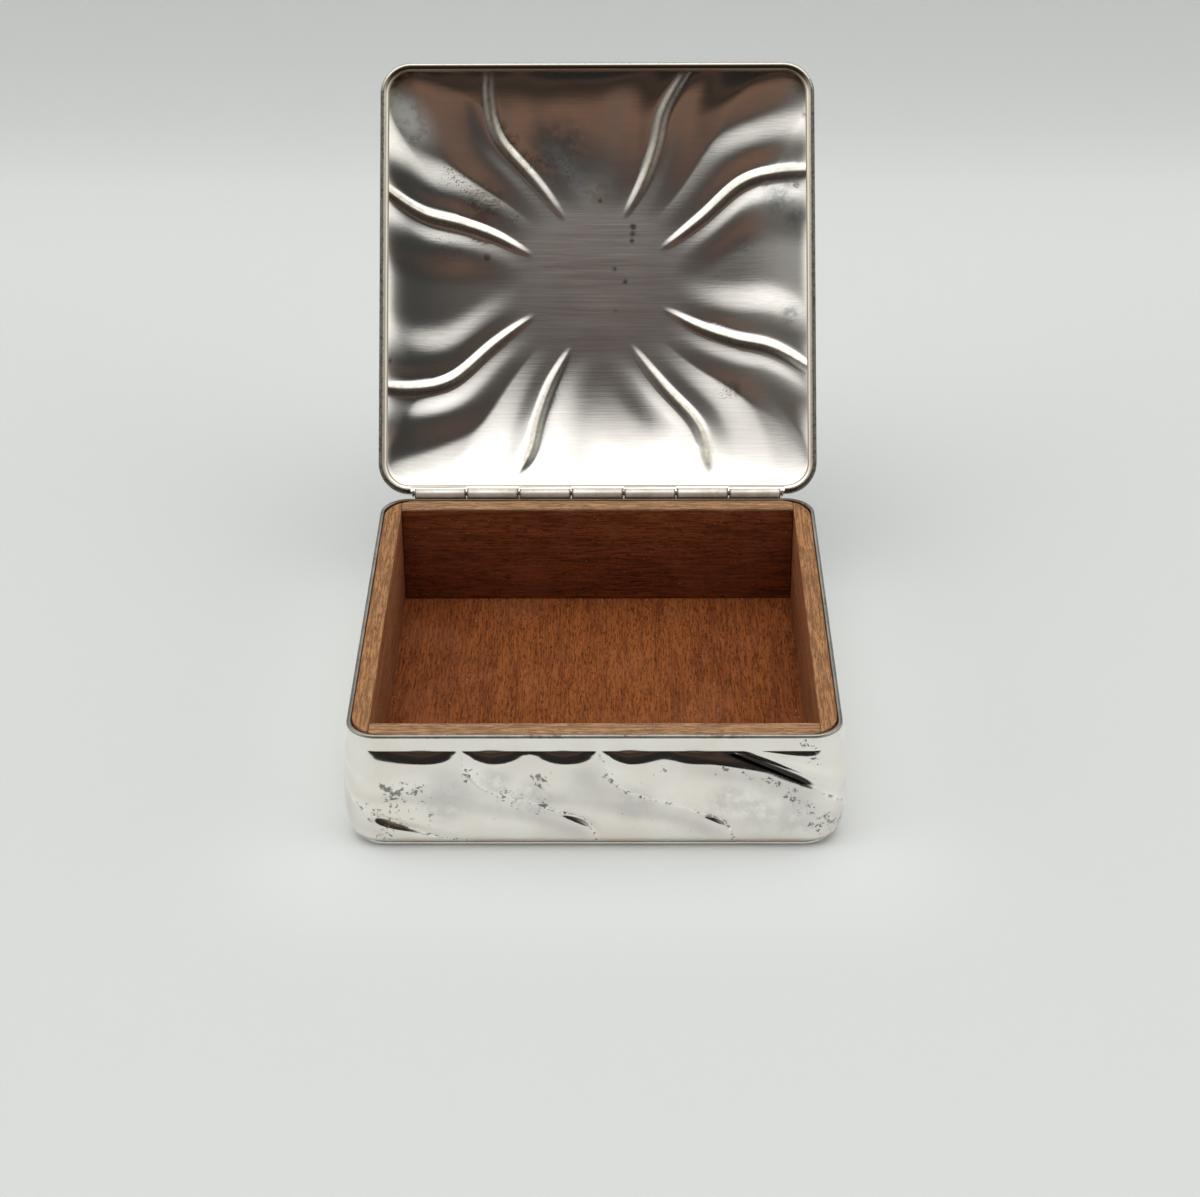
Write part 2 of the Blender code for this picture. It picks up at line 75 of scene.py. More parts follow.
# Body
body_corner = 6.5 * mm
wall_foot = base_high.z + seam_gap
rim_width = 0.9 * mm
rim_tall = 0.6 * mm
wire_fullness = 0.8
plain_band = 3.6 * mm
wall_bulge = 1.3 * mm
wall_tuck = 0.8 * mm
tuck_height = 2.4 * mm
base_inset = 0.8 * mm
base_edge = 0.45 * mm

# The twelve wall flutes: crease runs from the middle of a side, at the shoulder, and their travel to the base
first_crease = -27.0 * mm
middle_crease = 1.0 * mm
last_crease = 27.0 * mm
crease_travel = 27.2 * mm
corner_crease_travel = 49.0 * mm
scallop_reach = 3.8 * mm
scallop_top = 2.0 * mm
scallop_foot = 14.0 * mm
scallop_depth_shares = (0.53, 0.34)
corner_flute = 2
corner_dip_reach = 5.0 * mm
corner_dip_share = 0.62
corner_dip_steepness = 4
corner_start = 33.0 * mm
corner_end = 50.0 * mm
corner_fade_share = 0.70
wall_bulge_shares = (
    (0, 0), (0.08, 0.48), (0.2, 0.86), (0.36, 1), (0.6, 1), (0.805, 1), (0.866, 0.905),
    (0.91, 0.708), (0.955, 0.407), (0.978, 0.217), (1, 0),
)
crease_travel_shares = (
    (0, 1), (0.15, 0.99), (0.3, 0.875), (0.45, 0.575), (0.56, 0.265), (0.66, 0.125), (0.8, 0.05),
    (1, 0),
)
corner_bulge_shares = (
    (0, 0), (0.08, 0.48), (0.2, 0.86), (0.36, 1), (0.5, 1), (0.6, 0.95), (0.7, 0.83),
    (0.8, 0.62), (0.9, 0.33), (1, 0),
)
wall_crease_shares = (
    (0, 0.06), (0.08, 0.2), (0.14, 0.42), (0.21, 0.64), (0.28, 0.66), (0.35, 0.36), (0.42, 0.13),
    (0.5, 0.09), (0.58, 0.16), (0.66, 0.34), (0.74, 0.54), (0.82, 0.64), (0.9, 0.66), (1, 0.66),
)
low_depth_shares = (1.0, 0.85, 1.35)
high_depth_shares = (1.0, 1.0, 0.78)
corner_travel_shares = (
    (0, 1), (0.05, 0.85), (0.15, 0.69), (0.33, 0.52), (0.63, 0.35), (0.76, 0.25), (1, 0),
)

# Crease section: a narrow crease between two broad, shallow valleys
shoulder_start_share = 0.50
shoulder_end_share = 0.80
slant_step_share = 0.01
reaches_before = (1.5 * mm, 1.4 * mm, 2.0 * mm)
reaches_after = (1.8 * mm, 1.8 * mm, 2.6 * mm)
shoulder_reaches_before = (8.0 * mm, 7.6 * mm, 3.2 * mm)
shoulder_reaches_after = (5.0 * mm, 5.0 * mm, 4.0 * mm)
wall_crease_steepness = 1.6
lid_crease_reach = 1.7 * mm
lid_crease_steepness = 1.25
crease_round = 0.15 * mm
valley_start = 2.2 * mm
valley_middle = 8.0 * mm
valley_end = 18.5 * mm

# Lid, modelled closed with the hinge axis at the origin
lid_corner = 7.3 * mm
lid_rise = 8.0 * mm
lid_band = 3.0 * mm
lid_edge_width = 2.1 * mm
lid_edge_tall = 1.0 * mm
lid_crease_depth = 0.52 * mm
lid_valley_fall = 0.32 * mm
lid_valley_rise = 0.64 * mm
least_reach_share = 0.45
least_spread_share = 0.3
rim_plane = closing_gap - (axis_place.z - body_height)
crown_round = 2.3
crown_edge = 0.72
flat_share = 0.30
corner_growth = 0.8
lid_crease_angles = (
    ((0.28, -27.5), (0.5, -31.6), (0.67, -34.4), (0.82, -31.4), (1, -26.6)),
    ((0.28, 22), (0.45, 24.3), (0.62, 23.2), (0.8, 21.2), (1, 23.2)),
)
lid_crease_depth_shares = (
    (0, 0), (0.31, 0), (0.38, 0.38), (0.48, 0.76), (0.64, 1), (0.9, 1), (0.97, 0.7), (1, 0),
)
lid_valley_shares = (
    (0, 0), (0.34, 0), (0.52, 0.36), (0.74, 0.9), (0.88, 1), (0.97, 0.8), (1, 0),
)
hinge_fade_start = 3.0 * mm
hinge_fade_end = 9.5 * mm

# Hinge
knuckle_radius = 1.15 * mm
knuckle_bore = 0.75 * mm
knuckle_length = 11.85 * mm
knuckle_space = 0.35 * mm
knuckle_count = 7
knuckle_chamfer = 0.12 * mm
knuckle_pitch = knuckle_length + knuckle_space
hinge_length = knuckle_count * knuckle_pitch - knuckle_space
knuckle_starts = [i * knuckle_pitch - hinge_length / 2 for i in range(knuckle_count)]
pin_radius = 0.45 * mm
pin_head_radius = 0.85 * mm
pin_head_length = 0.4 * mm
head_room = pin_head_length + 2 * seat_gap
strip_edge = 0.12 * mm

# Wooden lining
side_board = 3.7 * mm
end_board = 4.1 * mm
lining_drop = 0.2 * mm
lining_corner = 7.0 * mm
board_edge = 0.22 * mm
tray_inset = 2.2 * mm
tray_corner = 4.3 * mm

# Worn places on the front wall: x, height and radius in millimetres
wall_pits = (
    (-40.8, 14.9, 3.2), (-35.6, 14.6, 3), (-25, 18.2, 1.8), (-17.1, 12.9, 3), (-10.8, 11, 2.2),
    (-40.3, 10.6, 3.4), (-45, 9.4, 2.4), (-35, 8.4, 2.4), (-10.5, 17.8, 2.6), (2.6, 18.2, 1.2),
    (25.6, 19.5, 1.6), (30.4, 18.2, 1.7), (35.3, 16.5, 2.2), (39.4, 13.6, 2.4), (42.7, 10.4, 2.4),
    (45.6, 7.4, 2.8), (47.4, 4.7, 3.4), (44.5, 21.9, 2), (43, 25.6, 2), (-3, 7, 1.2),
    (14, 20, 1), (-43, 4, 2.4),
)
# Grey clouds on the front wall, a painted reflection of darker things: x, height and radius in millimetres
painted_reflection_clouds = (
    (33.1, 9.7, 6), (27, 12.5, 5), (40, 8, 5), (-12, 13, 5), (-30, 12, 6),
    (8, 12, 5), (-20, 17, 4),
)
# Old tarnish on the lid as it lies closed: x, y from the hinge and radius in millimetres
lid_blotches = (
    (-8.9, -82.6, 8.5), (-6.1, -75.9, 6.5), (-11.5, -80, 6), (-1.5, -73.5, 3.5), (42.7, -70.5, 4),
    (45.5, -76.5, 4.5), (46.8, -66, 3), (45.2, -42.6, 3),
)
lid_specks = (
    (-28.3, -71.4, 4.5), (-24, -68.4, 4.5), (-20.8, -65.9, 3), (-31.5, -74.2, 4), (-8.5, -80, 8),
    (-16, -79.5, 4), (-20, -85, 3), (-34, -77, 5), (-36, -59, 5), (35, -60, 3),
    (30, -25, 3),
)
lid_spots = (
    (-48.6, -98.4, 2.2), (-47, -100.1, 2), (-44.6, -101.3, 1.6), (45.7, -101.8, 2),
    (48, -100.3, 2), (49.5, -98.3, 1.4), (49.7, -90.2, 1.5), (-26.2, -57, 1), (8.4, -64.3, 1),
    (8.3, -62.6, 0.9), (8.1, -61, 0.7), (3.9, -54.3, 0.8), (6.5, -51.2, 0.8), (0.6, -70.6, 0.6),
    (4.3, -44.2, 0.5), (46.9, -73.5, 1), (-49.2, -31.7, 1),
)
lid_browned = (
    (31.9, -25.1, 2.4), (-20.4, -85.2, 2.2), (-17, -80.5, 2.4), (-27, -70, 6), (-23, -88.5, 2),
    (0, -72.5, 3.5), (48.6, -97.5, 3), (-47, -99, 4.5),
)

# A pale bloom near one corner of the lid as it lies closed: its middle, half length and half width, and turn
bloom_middle = (-45.5 * mm, -90.5 * mm)
bloom_reach = (15.0 * mm, 7.5 * mm)
bloom_turn = math.radians(50.0)

# Where the plate is rubbed lighter along a wall crease, partly a painted highlight; the band of painted shade
# on one side of it;
# and the painted dark reflection that fills the crease by a corner. The shares of the height say where each
# starts, is full, fades and ends
edge_reach = 0.42 * mm
edge_shares = (0.0, 0.06, 0.92, 1.0)
corner_edge_shares = (0.0, 0.06, 0.52, 0.60)
painted_shade_middle = 4.0 * mm
painted_shade_reach = 3.4 * mm
painted_shade_shares = (0.0, 0.20, 0.75, 0.95)
painted_dark_reflection_reach = 0.85 * mm
painted_dark_reflection_shares = (0.60, 0.72, 0.95, 1.0)

# How uneven the pressed sheet is
dent_size = 9.0 * mm
dent_depth = 0.035 * mm

# Round marks: the full part's radius and the soft edge's width, as shares of the mark's radius
mark_core_share = 0.3
mark_soft_share = 0.9

# Mesh counts
wall_columns = (30, 44, 44)
wall_rows = 70
lid_columns = (36, 52)
lid_rows = 110
edge_columns = 240
wire_steps = 14
edging_steps = 18
corner_steps = 14
bar_sides = 48
tube_sides = 40
head_steps = 6
bevel_steps = 3
base_bevel_steps = 4
crowding = 2.5
wire_crowding = 7.5
lid_crowding_start = 0.12


# Modelling

def select_only(piece):
    bpy.ops.object.select_all(action="DESELECT")
    piece.select_set(True)
    bpy.context.view_layer.objects.active = piece


def apply_modifier(piece, kind, **settings):
    select_only(piece)
    modifier = piece.modifiers.new(kind.lower(), kind)
    for name, value in settings.items():
        setattr(modifier, name, value)
    bpy.ops.object.modifier_apply(modifier=modifier.name)


def pressed(name, columns, rows, place, mark=None):
    """A flat grid whose vertices go to place(column, row), with its seams and poles merged.

    mark(column, row) gives three numbers to keep for each vertex, for the material to read as "crease"."""
    bpy.ops.object.select_all(action="DESELECT")
    bpy.ops.mesh.primitive_grid_add(x_subdivisions=columns, y_subdivisions=rows, size=1.0)
    piece = bpy.context.object
    piece.name = name
    marks = piece.data.attributes.new("crease", "FLOAT_VECTOR", "POINT") if mark else None
    for vertex in piece.data.vertices:
        column = round((vertex.co.x + 0.5) * columns)
        row = round((vertex.co.y + 0.5) * rows)
        vertex.co = place(column, row)
        if mark:
            marks.data[vertex.index].vector = mark(column, row)
    bpy.ops.object.mode_set(mode="EDIT")
    bpy.ops.mesh.select_all(action="SELECT")
    bpy.ops.mesh.remove_doubles(threshold=merge_reach)
    bpy.ops.mesh.normals_make_consistent(inside=False)
    bpy.ops.object.mode_set(mode="OBJECT")
    return piece


def pressed_rings(name, rings):
    """A sheet pressed through rings of (point, mark), each ring with as many of them."""
    return pressed(name, len(rings[0]) - 1, len(rings) - 1,
                   lambda column, row: rings[row][column][0], lambda column, row: rings[row][column][1])


def smooth(piece, degrees):
    select_only(piece)
    bpy.ops.object.shade_smooth_by_angle(angle=math.radians(degrees))


def thicken(piece):
    """Gives a pressed skin the sheet's thickness, inwards."""
    apply_modifier(piece, "SOLIDIFY", thickness=sheet, offset=-1.0, use_even_offset=True)


def cut(piece, cutter):
    """Takes the cutter's volume out of the piece, and the cutter away."""
    apply_modifier(piece, "BOOLEAN", operation="DIFFERENCE", object=cutter)
    bpy.data.objects.remove(cutter)


def swing_open(piece):
    """Moves a piece modelled on the closed lid to where the open lid holds it."""
    piece.data.transform(to_open)


def finished(piece, finish, body, slot, *replaced):
    piece.data.materials.clear()
    piece.data.materials.append(finish)
    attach(piece, body)
    if replaced:
        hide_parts(*replaced)


# Shapes that the pieces share

def mix(first, last, share):
    """The number at a share of the way from one to another."""
    return first + (last - first) * share


def smooth_value(table, place):
    """A smooth curve through a short table of (place, value) pairs."""
    places, values = zip(*table)
    place = min(max(place, places[0]), places[-1])
    last = len(table) - 1
    slopes = []
    for i in range(len(table)):
        before, after = max(i - 1, 0), min(i + 1, last)
        slopes.append((values[after] - values[before]) / (places[after] - places[before]))
    i = min(max(sum(p <= place for p in places) - 1, 0), last - 1)
    span = places[i + 1] - places[i]
    t = (place - places[i]) / span
    bend = span * (slopes[i] * t * (1 - t) ** 2 - slopes[i + 1] * t * t * (1 - t))
    return mix(values[i], values[i + 1], t * t * (3 - 2 * t)) + bend


def quarter_length(half, corner):
    """The length of a rounded square's outline from the middle of one side to the middle of the next."""
    return 2 * (half - corner) + math.pi / 2 * corner


def outline_point(half, corner, run):
    """The point and the outward direction at a run along a rounded square, from the middle of its +X side."""
    length = quarter_length(half, corner)
    straight = half - corner
    quarter, run = divmod(run, length)
    if run < straight:
        point, outward = (half, run), (1.0, 0.0)
    elif run > length - straight:
        point, outward = (length - run, half), (0.0, 1.0)
    else:
        angle = (run - straight) / corner
        outward = (math.cos(angle), math.sin(angle))
        point = (straight + corner * outward[0], straight + corner * outward[1])
    for _ in range(int(quarter) % 4):
        point, outward = (-point[1], point[0]), (-outward[1], outward[0])
    return Vector((*point, 0.0)), Vector((*outward, 0.0))


def crowded(run, straight, bend, new_bend):
    """Moves a run to where it lies when each corner counts as new_bend long and not as bend."""
    quarter, run = divmod(run, 2 * straight + bend)
    if run > straight + bend:
        run += new_bend - bend
    elif run > straight:
        run = straight + (run - straight) * new_bend / bend
    return quarter * (2 * straight + new_bend) + run


def column_steps(steps):
    """(quarter, flute, share of the flute's width) of each column of a fluted sheet, closed."""
    around = [
        (quarter, flute, step / count)
        for quarter in range(4) for flute, count in enumerate(steps) for step in range(count)
    ]
    return around + [(4, 0, 0.0)]


def fluted_row(half, corner, creases, columns, eased_share=1.0):
    """(run, flute, distance past its first crease, distance to its last) of each column.

    The columns are crowded at the creases."""
    straight = half - corner
    bend = math.pi / 2 * corner
    wide_bend = bend * crowding
    length = quarter_length(half, corner)
    ends = [*creases, creases[0] + length]
    row = []
    for quarter, flute, share in columns:
        first, last = ends[flute], ends[flute + 1]
        low = crowded(first, straight, bend, wide_bend)
        high = crowded(last, straight, bend, wide_bend)
        eased = mix(share, (1 - math.cos(math.pi * share)) / 2, eased_share)
        run = crowded(mix(low, high, eased), straight, wide_bend, bend)
        row.append((quarter * length + run, flute, run - first, last - run))
    return row


def crease_fall(distance, reach, steepness):
    """How far the sheet has sunk into a crease of a reach: 1 in the crease, 0 beyond it."""
    rounded = math.hypot(distance, crease_round) - crease_round
    return max(0.0, 1 - rounded / reach) ** steepness


def rise(value, low, high):
    """Rises smoothly from 0 at low to 1 at high."""
    t = min(max((value - low) / (high - low), 0.0), 1.0)
    return t * t * (3 - 2 * t)


def between(value, start, full, fade, end):
    """Rises smoothly from 0 at start to 1 at full, and falls again from fade to end."""
    return rise(value, start, full) * (1 - rise(value, fade, end))


def hill(distance, reach):
    """1 at no distance, falling smoothly to nearly 0 at twice the reach."""
    return math.exp(-((distance / reach) ** 2))


def valley_fall(distance, spread):
    """How far the sheet has sunk in the shallow valley beside a crease, all its distances times spread."""
    distance /= spread
    down = lid_valley_fall * rise(distance, valley_start, valley_middle)
    return down - lid_valley_rise * rise(distance, valley_middle, valley_end)


def dent(place):
    """How far an even sheet lies in at a place, from handling and hand finishing."""
    return (1 + noise.noise(place / dent_size)) / 2 * dent_depth


# Body

def wall_creases(share):
    """The runs of one wall's three creases at a share of the fluted height."""
    travel = crease_travel * smooth_value(crease_travel_shares, share)
    return (
        first_crease + travel,
        middle_crease + travel,
        last_crease + corner_crease_travel * smooth_value(corner_travel_shares, share),
    )


def crease_slants(share, tall):
    """The distance from each of a wall's creases, beside the run to it, where the creases slant."""
    low, high = max(share - slant_step_share, 0.0), min(share + slant_step_share, 1.0)
    climb = tall * (high - low)
    return [1 / math.hypot(1.0, (b - a) / climb) for a, b in zip(wall_creases(low), wall_creases(high))]


def wall_crease_fall(distance, crease, lift, reaches, shoulder_reaches):
    """How far one side of a wall's crease has sunk, with lift 0 low on the wall and 1 at its shoulder."""
    reach = mix(reaches[crease], shoulder_reaches[crease], lift)
    depth_share = mix(low_depth_shares[crease], high_depth_shares[crease], lift)
    return depth_share * crease_fall(distance, reach, wall_crease_steepness)


def scallop(place, flute, past, below_shoulder):
    """The shallow dips under the shoulder, in a wall's two whole flutes and after its last crease."""
    middles = ((first_crease + middle_crease) / 2, (middle_crease + last_crease) / 2)
    dips = (
        depth_share * hill(place - middle, scallop_reach)
        for middle, depth_share in zip(middles, scallop_depth_shares)
    )
    deepest = max(dips)
    if flute == corner_flute:
        reached = past / corner_dip_reach
        deepest = max(deepest, corner_dip_share * (reached * math.exp(1 - reached)) ** corner_dip_steepness)
    return deepest * (1 - rise(below_shoulder, scallop_top, scallop_foot))


def wall_ring(height, share, shoulder, columns):
    """The points of the fluted wall at one height, each with its three marks for the silver.

    These say how rubbed and lighter it is along a crease, partly a painted highlight, how far in the band of
    painted shade, and how deep in the painted dark reflection by the corner crease."""
    length = quarter_length(body_half, body_corner)
    side_share = smooth_value(wall_bulge_shares, share)
    corner_share = smooth_value(corner_bulge_shares, share)
    tucked = max(0.0, 1 - (height - wall_foot) / tuck_height)
    tuck = wall_tuck * (1 - math.sqrt(1 - tucked * tucked))
    depth = smooth_value(wall_crease_shares, share)
    lift = rise(share, shoulder_start_share, shoulder_end_share)
    slants = crease_slants(share, shoulder - wall_foot)
    ring = []
    for run, flute, past, ahead in fluted_row(body_half, body_corner, wall_creases(share), columns):
        point, outward = outline_point(body_half, body_corner, run)
        place = (run + length / 2) % length - length / 2
        bulge_share = mix(side_share, corner_share, rise(abs(place), corner_start, corner_end))
        ahead_crease = (flute + 1) % len(wall_columns)
        dip = scallop(place, flute, past, shoulder - height)
        past, ahead = past * slants[flute], ahead * slants[ahead_crease]
        after = wall_crease_fall(past, flute, lift, reaches_after, shoulder_reaches_after)
        before = wall_crease_fall(ahead, ahead_crease, lift, reaches_before, shoulder_reaches_before)
        fall = depth * max(after, before) * (1 - corner_fade_share * 2 * abs(outward.x * outward.y))
        point.z = height
        bulge = wall_bulge * bulge_share * (1 - fall) * (1 - dip)
        point += outward * (bulge - tuck - dent(point) * min(1.0, bulge_share))
        by_corner = (flute if past < ahead else ahead_crease) == corner_flute
        distance = min(past, ahead)
        # How near the crease line: the plate is rubbed lighter there, partly a painted highlight
        edge = hill(distance, edge_reach)
        edge *= between(share, *(corner_edge_shares if by_corner else edge_shares))
        # Painted shade: a grey band beside each crease
        painted_shade = hill(ahead - painted_shade_middle, painted_shade_reach) * between(share, *painted_shade_shares)
        # Painted dark reflection in the corner crease under the shoulder
        painted_dark_reflection = hill(distance, painted_dark_reflection_reach) * between(share, *painted_dark_reflection_shares)
        ring.append((point, (edge, painted_shade, painted_dark_reflection if by_corner else 0.0)))
    return ring


def build_wall(finish):
    """The fluted band: a plain strip under the mouth wire, then twelve flutes that swirl down to the base."""
    shoulder = body_height - plain_band
    columns = column_steps(wall_columns)
    rings = []
    for i in range(wall_rows + 1):
        share = (1 - math.cos(math.pi * i / wall_rows)) / 2
        rings.append(wall_ring(mix(wall_foot, shoulder, share), share, shoulder, columns))
    lip = body_height - rim_tall
    rings.append([(Vector((point.x, point.y, lip)), (0.0, 0.0, 0.0)) for point, _ in rings[-1]])
    wall = pressed_rings("fluted_wall", rings)
    thicken(wall)
    smooth(wall, 35)
    finished(wall, finish, "box_body", "silver", "body_wall")


def swept_edge(name, half, corner, section, centre=Vector()):
    """A ring swept round a rounded square. The section is a closed outline of (inset, height) points."""
    straight = half - corner
    bend = math.pi / 2 * corner
    wide_bend = bend * wire_crowding
    around = 4 * (2 * straight + wide_bend)
    closed = [*section, section[0]]

    def place(column, row):
        run = crowded(around * (column % edge_columns) / edge_columns, straight, wide_bend, bend)
        point, outward = outline_point(half, corner, run)
        inset, height = closed[row]
        return centre + point - outward * inset + Vector((0.0, 0.0, height))

    return pressed(name, edge_columns, len(section), place)


def half_round(width, flat, height, steps, upward):
    """The section of a half-round wire of (inset, height) points, its flat side at flat."""
    side = 1.0 if upward else -1.0
    points = []
    for i in range(steps + 1):
        angle = math.pi * i / steps
        inset = width / 2 * (1 - math.cos(angle))
        points.append((inset, flat + side * height * math.sin(angle) ** wire_fullness))
    return points


def bar(first, last, radius, centre):
    """A round bar along X, to cut with."""
    bpy.ops.object.select_all(action="DESELECT")
    bpy.ops.mesh.primitive_cylinder_add(
        vertices=bar_sides, radius=radius, depth=last - first, rotation=(0.0, math.pi / 2, 0.0),
        location=centre + Vector(((first + last) / 2, 0.0, 0.0)),
    )
    bpy.ops.object.transform_apply()
    return bpy.context.object


def hinge_bar(radius, centre):
    """A bar as long as the whole hinge, to cut with."""
    end = head_room - knuckle_starts[0]
    return bar(-end, end, radius, centre)


def build_mouth_wire(finish):
    """The rounded wire that edges the body's mouth, grooved at the back where the knuckles sit."""
    section = half_round(rim_width, body_height - rim_tall, rim_tall, wire_steps, upward=True)
    wire = swept_edge("mouth_wire", body_half, body_corner, section)
    cut(wire, hinge_bar(knuckle_radius + seat_gap / 2, axis_place))
    smooth(wire, 60)
    finished(wire, finish, "box_body", "silver", "body_rim")


def plain_block(name, first, last):
    """A block between two opposite corners."""
    bpy.ops.object.select_all(action="DESELECT")
    bpy.ops.mesh.primitive_cube_add(size=1.0, scale=last - first, location=(first + last) / 2)
    bpy.ops.object.transform_apply()
    block = bpy.context.object
    block.name = name
    return block


def rounded_block(name, half, corner, low, high):
    """A square block with rounded upright edges, between two heights."""
    block = plain_block(name, Vector((-half, -half, low)), Vector((half, half, high)))
    bpy.ops.object.mode_set(mode="EDIT")
    bpy.ops.mesh.select_mode(type="EDGE")
    bpy.ops.mesh.select_all(action="DESELECT")
    bpy.ops.object.mode_set(mode="OBJECT")
    for edge in block.data.edges:
        a, b = (block.data.vertices[i].co for i in edge.vertices)
        edge.select = abs(a.z - b.z) > abs(a.x - b.x) + abs(a.y - b.y)
    bpy.ops.object.mode_set(mode="EDIT")
    bpy.ops.mesh.bevel(offset=corner, segments=corner_steps, affect="EDGES")
    bpy.ops.object.mode_set(mode="OBJECT")
    return block


def build_base(finish):
    base = rounded_block("bottom_plate", body_half - base_inset, body_corner, base_low.z, base_high.z)
    apply_modifier(base, "BEVEL", width=base_edge, segments=base_bevel_steps, limit_method="ANGLE")
    smooth(base, 40)
    finished(base, finish, "box_body", "silver", "base_plate")


# Lid

def lid_outline(level):
    """The half width and corner radius of the lid's ring at a level, 1 at the rim and 0 in the middle."""
    half = lid_half * level
    rim_share = lid_corner / lid_half
    return half, half * mix(rim_share, 1, (1 - level) ** corner_growth)


def run_at_angle(half, corner, degrees):
    """The run at which a ray from the middle meets the outline, at most an eighth turn from +X."""
    side = math.copysign(1.0, degrees)
    slope = math.tan(math.radians(abs(degrees)))
    straight = half - corner
    if half * slope <= straight:
        return side * half * slope
    a = 1 + slope * slope
    b = straight * (1 + slope)
    x = (b + math.sqrt(b * b - a * (2 * straight * straight - corner * corner))) / a
    return side * (straight + corner * math.atan2(x * slope - straight, x - straight))


def crown_height(level):
    """The lid's height above its band at a level, flat in the middle and steep at the shoulder."""
    share = max(0.0, (level - flat_share) / (1 - flat_share))
    return (lid_rise - lid_band) * (1 - min(share, 1.0) ** crown_round) ** crown_edge


def crown_normal(level, outward):
    """The direction away from the lid's smooth crown at a level."""
    step = 1 / lid_rows / 4
    low, high = min(level + step, 1.0), max(level - step, 0.0)
    run = lid_half * (low - high)
    fall = crown_height(high) - crown_height(low)
    return (outward * fall + Vector((0.0, 0.0, run))).normalized()


def lid_ring(level, columns):
    """The points of the lid at one level, modelled closed, each with how near it lies to a crease."""
    centre = Vector((0.0, -lid_half, rim_plane + lid_band + crown_height(level)))
    half, corner = lid_outline(level)
    share = max(0.0, smooth_value(lid_crease_depth_shares, level))
    depth = lid_crease_depth * share
    reach = lid_crease_reach * mix(least_reach_share, 1, share)
    valley = max(0.0, smooth_value(lid_valley_shares, level))
    crowding_share = rise(level, lid_crowding_start, flat_share)
    spread = mix(least_spread_share, 1, level)
    creases = [run_at_angle(half, corner, smooth_value(table, level)) for table in lid_crease_angles]
    ring = []
    for run, _, past, ahead in fluted_row(half, corner, creases, columns, crowding_share):
        point, outward = outline_point(half, corner, run)
        point += centre
        distance = min(past, ahead)
        fade = rise(-point.y, hinge_fade_start, hinge_fade_end)
        inward = fade * depth * crease_fall(distance, reach, lid_crease_steepness)
        inward += valley * valley_fall(distance, spread) + dent(point) * (1 - level)
        crest = fade * share * crease_fall(distance, reach, 1.0)
        ring.append((point - crown_normal(level, outward) * inward, (crest, 0.0, 0.0)))
    return ring


def build_lid(finish):
    """The lid: a plain band, a shoulder, and eight flutes that swirl out of a flat middle."""
    columns = column_steps(lid_columns)
    rings = [lid_ring(math.cos(math.pi / 2 * i / lid_rows), columns) for i in range(lid_rows)]
    middle = sum((point for point, _ in rings[-1][:-1]), Vector()) / (len(columns) - 1)
    rings.append([(middle, (0.0, 0.0, 0.0))] * len(columns))
    foot = rim_plane + lid_edge_tall
    rings.insert(0, [(Vector((point.x, point.y, foot)), mark) for point, mark in rings[0]])
    lid = pressed_rings("fluted_lid", rings)
    thicken(lid)
    for vertex, mark in zip(lid.data.vertices, lid.data.attributes["crease"].data):
        mark.vector = (mark.vector[0], 0.0, 1.0 if vertex.normal.z < 0 else 0.0)
    cut_knuckle_notches(lid)
    smooth(lid, 50)
    swing_open(lid)
    finished(lid, finish, "lid", "silver", "lid_shell")


def build_lid_edge(finish):
    """The half-round edging that stiffens the lid's mouth."""
    section = half_round(lid_edge_width, rim_plane + lid_edge_tall, lid_edge_tall, edging_steps, upward=False)
    edge = swept_edge("lid_edging", lid_half, lid_corner, section, Vector((0.0, -lid_half, 0.0)))
    cut_knuckle_notches(edge)
    smooth(edge, 60)
    swing_open(edge)
    finished(edge, finish, "lid", "silver", "lid_rim")


def cut_knuckle_notches(piece):
    """Clears the body's knuckles along the lid's back edge, and seats the lid's own."""
    cut(piece, hinge_bar(knuckle_radius, Vector()))
    for i in range(0, knuckle_count, 2):
        before = head_room if i == 0 else knuckle_space / 2
        after = head_room if i == knuckle_count - 1 else knuckle_space / 2
        first, last = knuckle_starts[i] - before, knuckle_starts[i] + knuckle_length + after
        cut(piece, bar(first, last, knuckle_radius + running_gap, Vector()))


# Hinge

def turned(name, profile):
    """A piece turned about X from a closed profile of (place along X, radius) points."""
    closed = [*profile, profile[0]]

    def place(column, row):
        x, radius = closed[row]
        angle = 2 * math.pi * (column % tube_sides) / tube_sides
        return Vector((x, radius * math.sin(angle), radius * math.cos(angle)))

    return pressed(name, tube_sides, len(profile), place)


def build_knuckles(finish):
    """Seven tubes on one pin, the odd ones on the body and the even ones on the lid."""
    left = [
        (0.0, knuckle_bore), (0.0, knuckle_radius - knuckle_chamfer),
        (knuckle_chamfer / 3, knuckle_radius - knuckle_chamfer / 3), (knuckle_chamfer, knuckle_radius),
    ]
    profile = [*left, *((knuckle_length - x, radius) for x, radius in reversed(left))]
    for i, start in enumerate(knuckle_starts):
        owner, body = ("lid", "lid") if i % 2 else ("body", "box_body")
        tube = turned(f"{owner}_hinge_tube_{i // 2 + 1}", profile)
        tube.data.transform(Matrix.Translation(axis_place + Vector((start, 0.0, 0.0))))
        smooth(tube, 30)
        finished(tube, finish, body, "silver", f"{owner}_knuckle_{i // 2 + 1}")


def build_pin(finish):
    """The pin through the knuckles, with both ends spread into small domes."""
    first = knuckle_starts[0] - seat_gap
    head = [
        (first - pin_head_length * math.cos(angle), pin_head_radius * math.sin(angle))
        for angle in (math.pi / 2 * i / head_steps for i in range(head_steps + 1))
    ]
    left = [*head, (first, pin_radius)]
    right = [(-x, radius) for x, radius in reversed(left)]
    pin = turned("pivot_pin", [*left, *right])
    pin.data.transform(Matrix.Translation(axis_place))
    smooth(pin, 35)
    finished(pin, finish, "box_body", "silver", "hinge_pin")


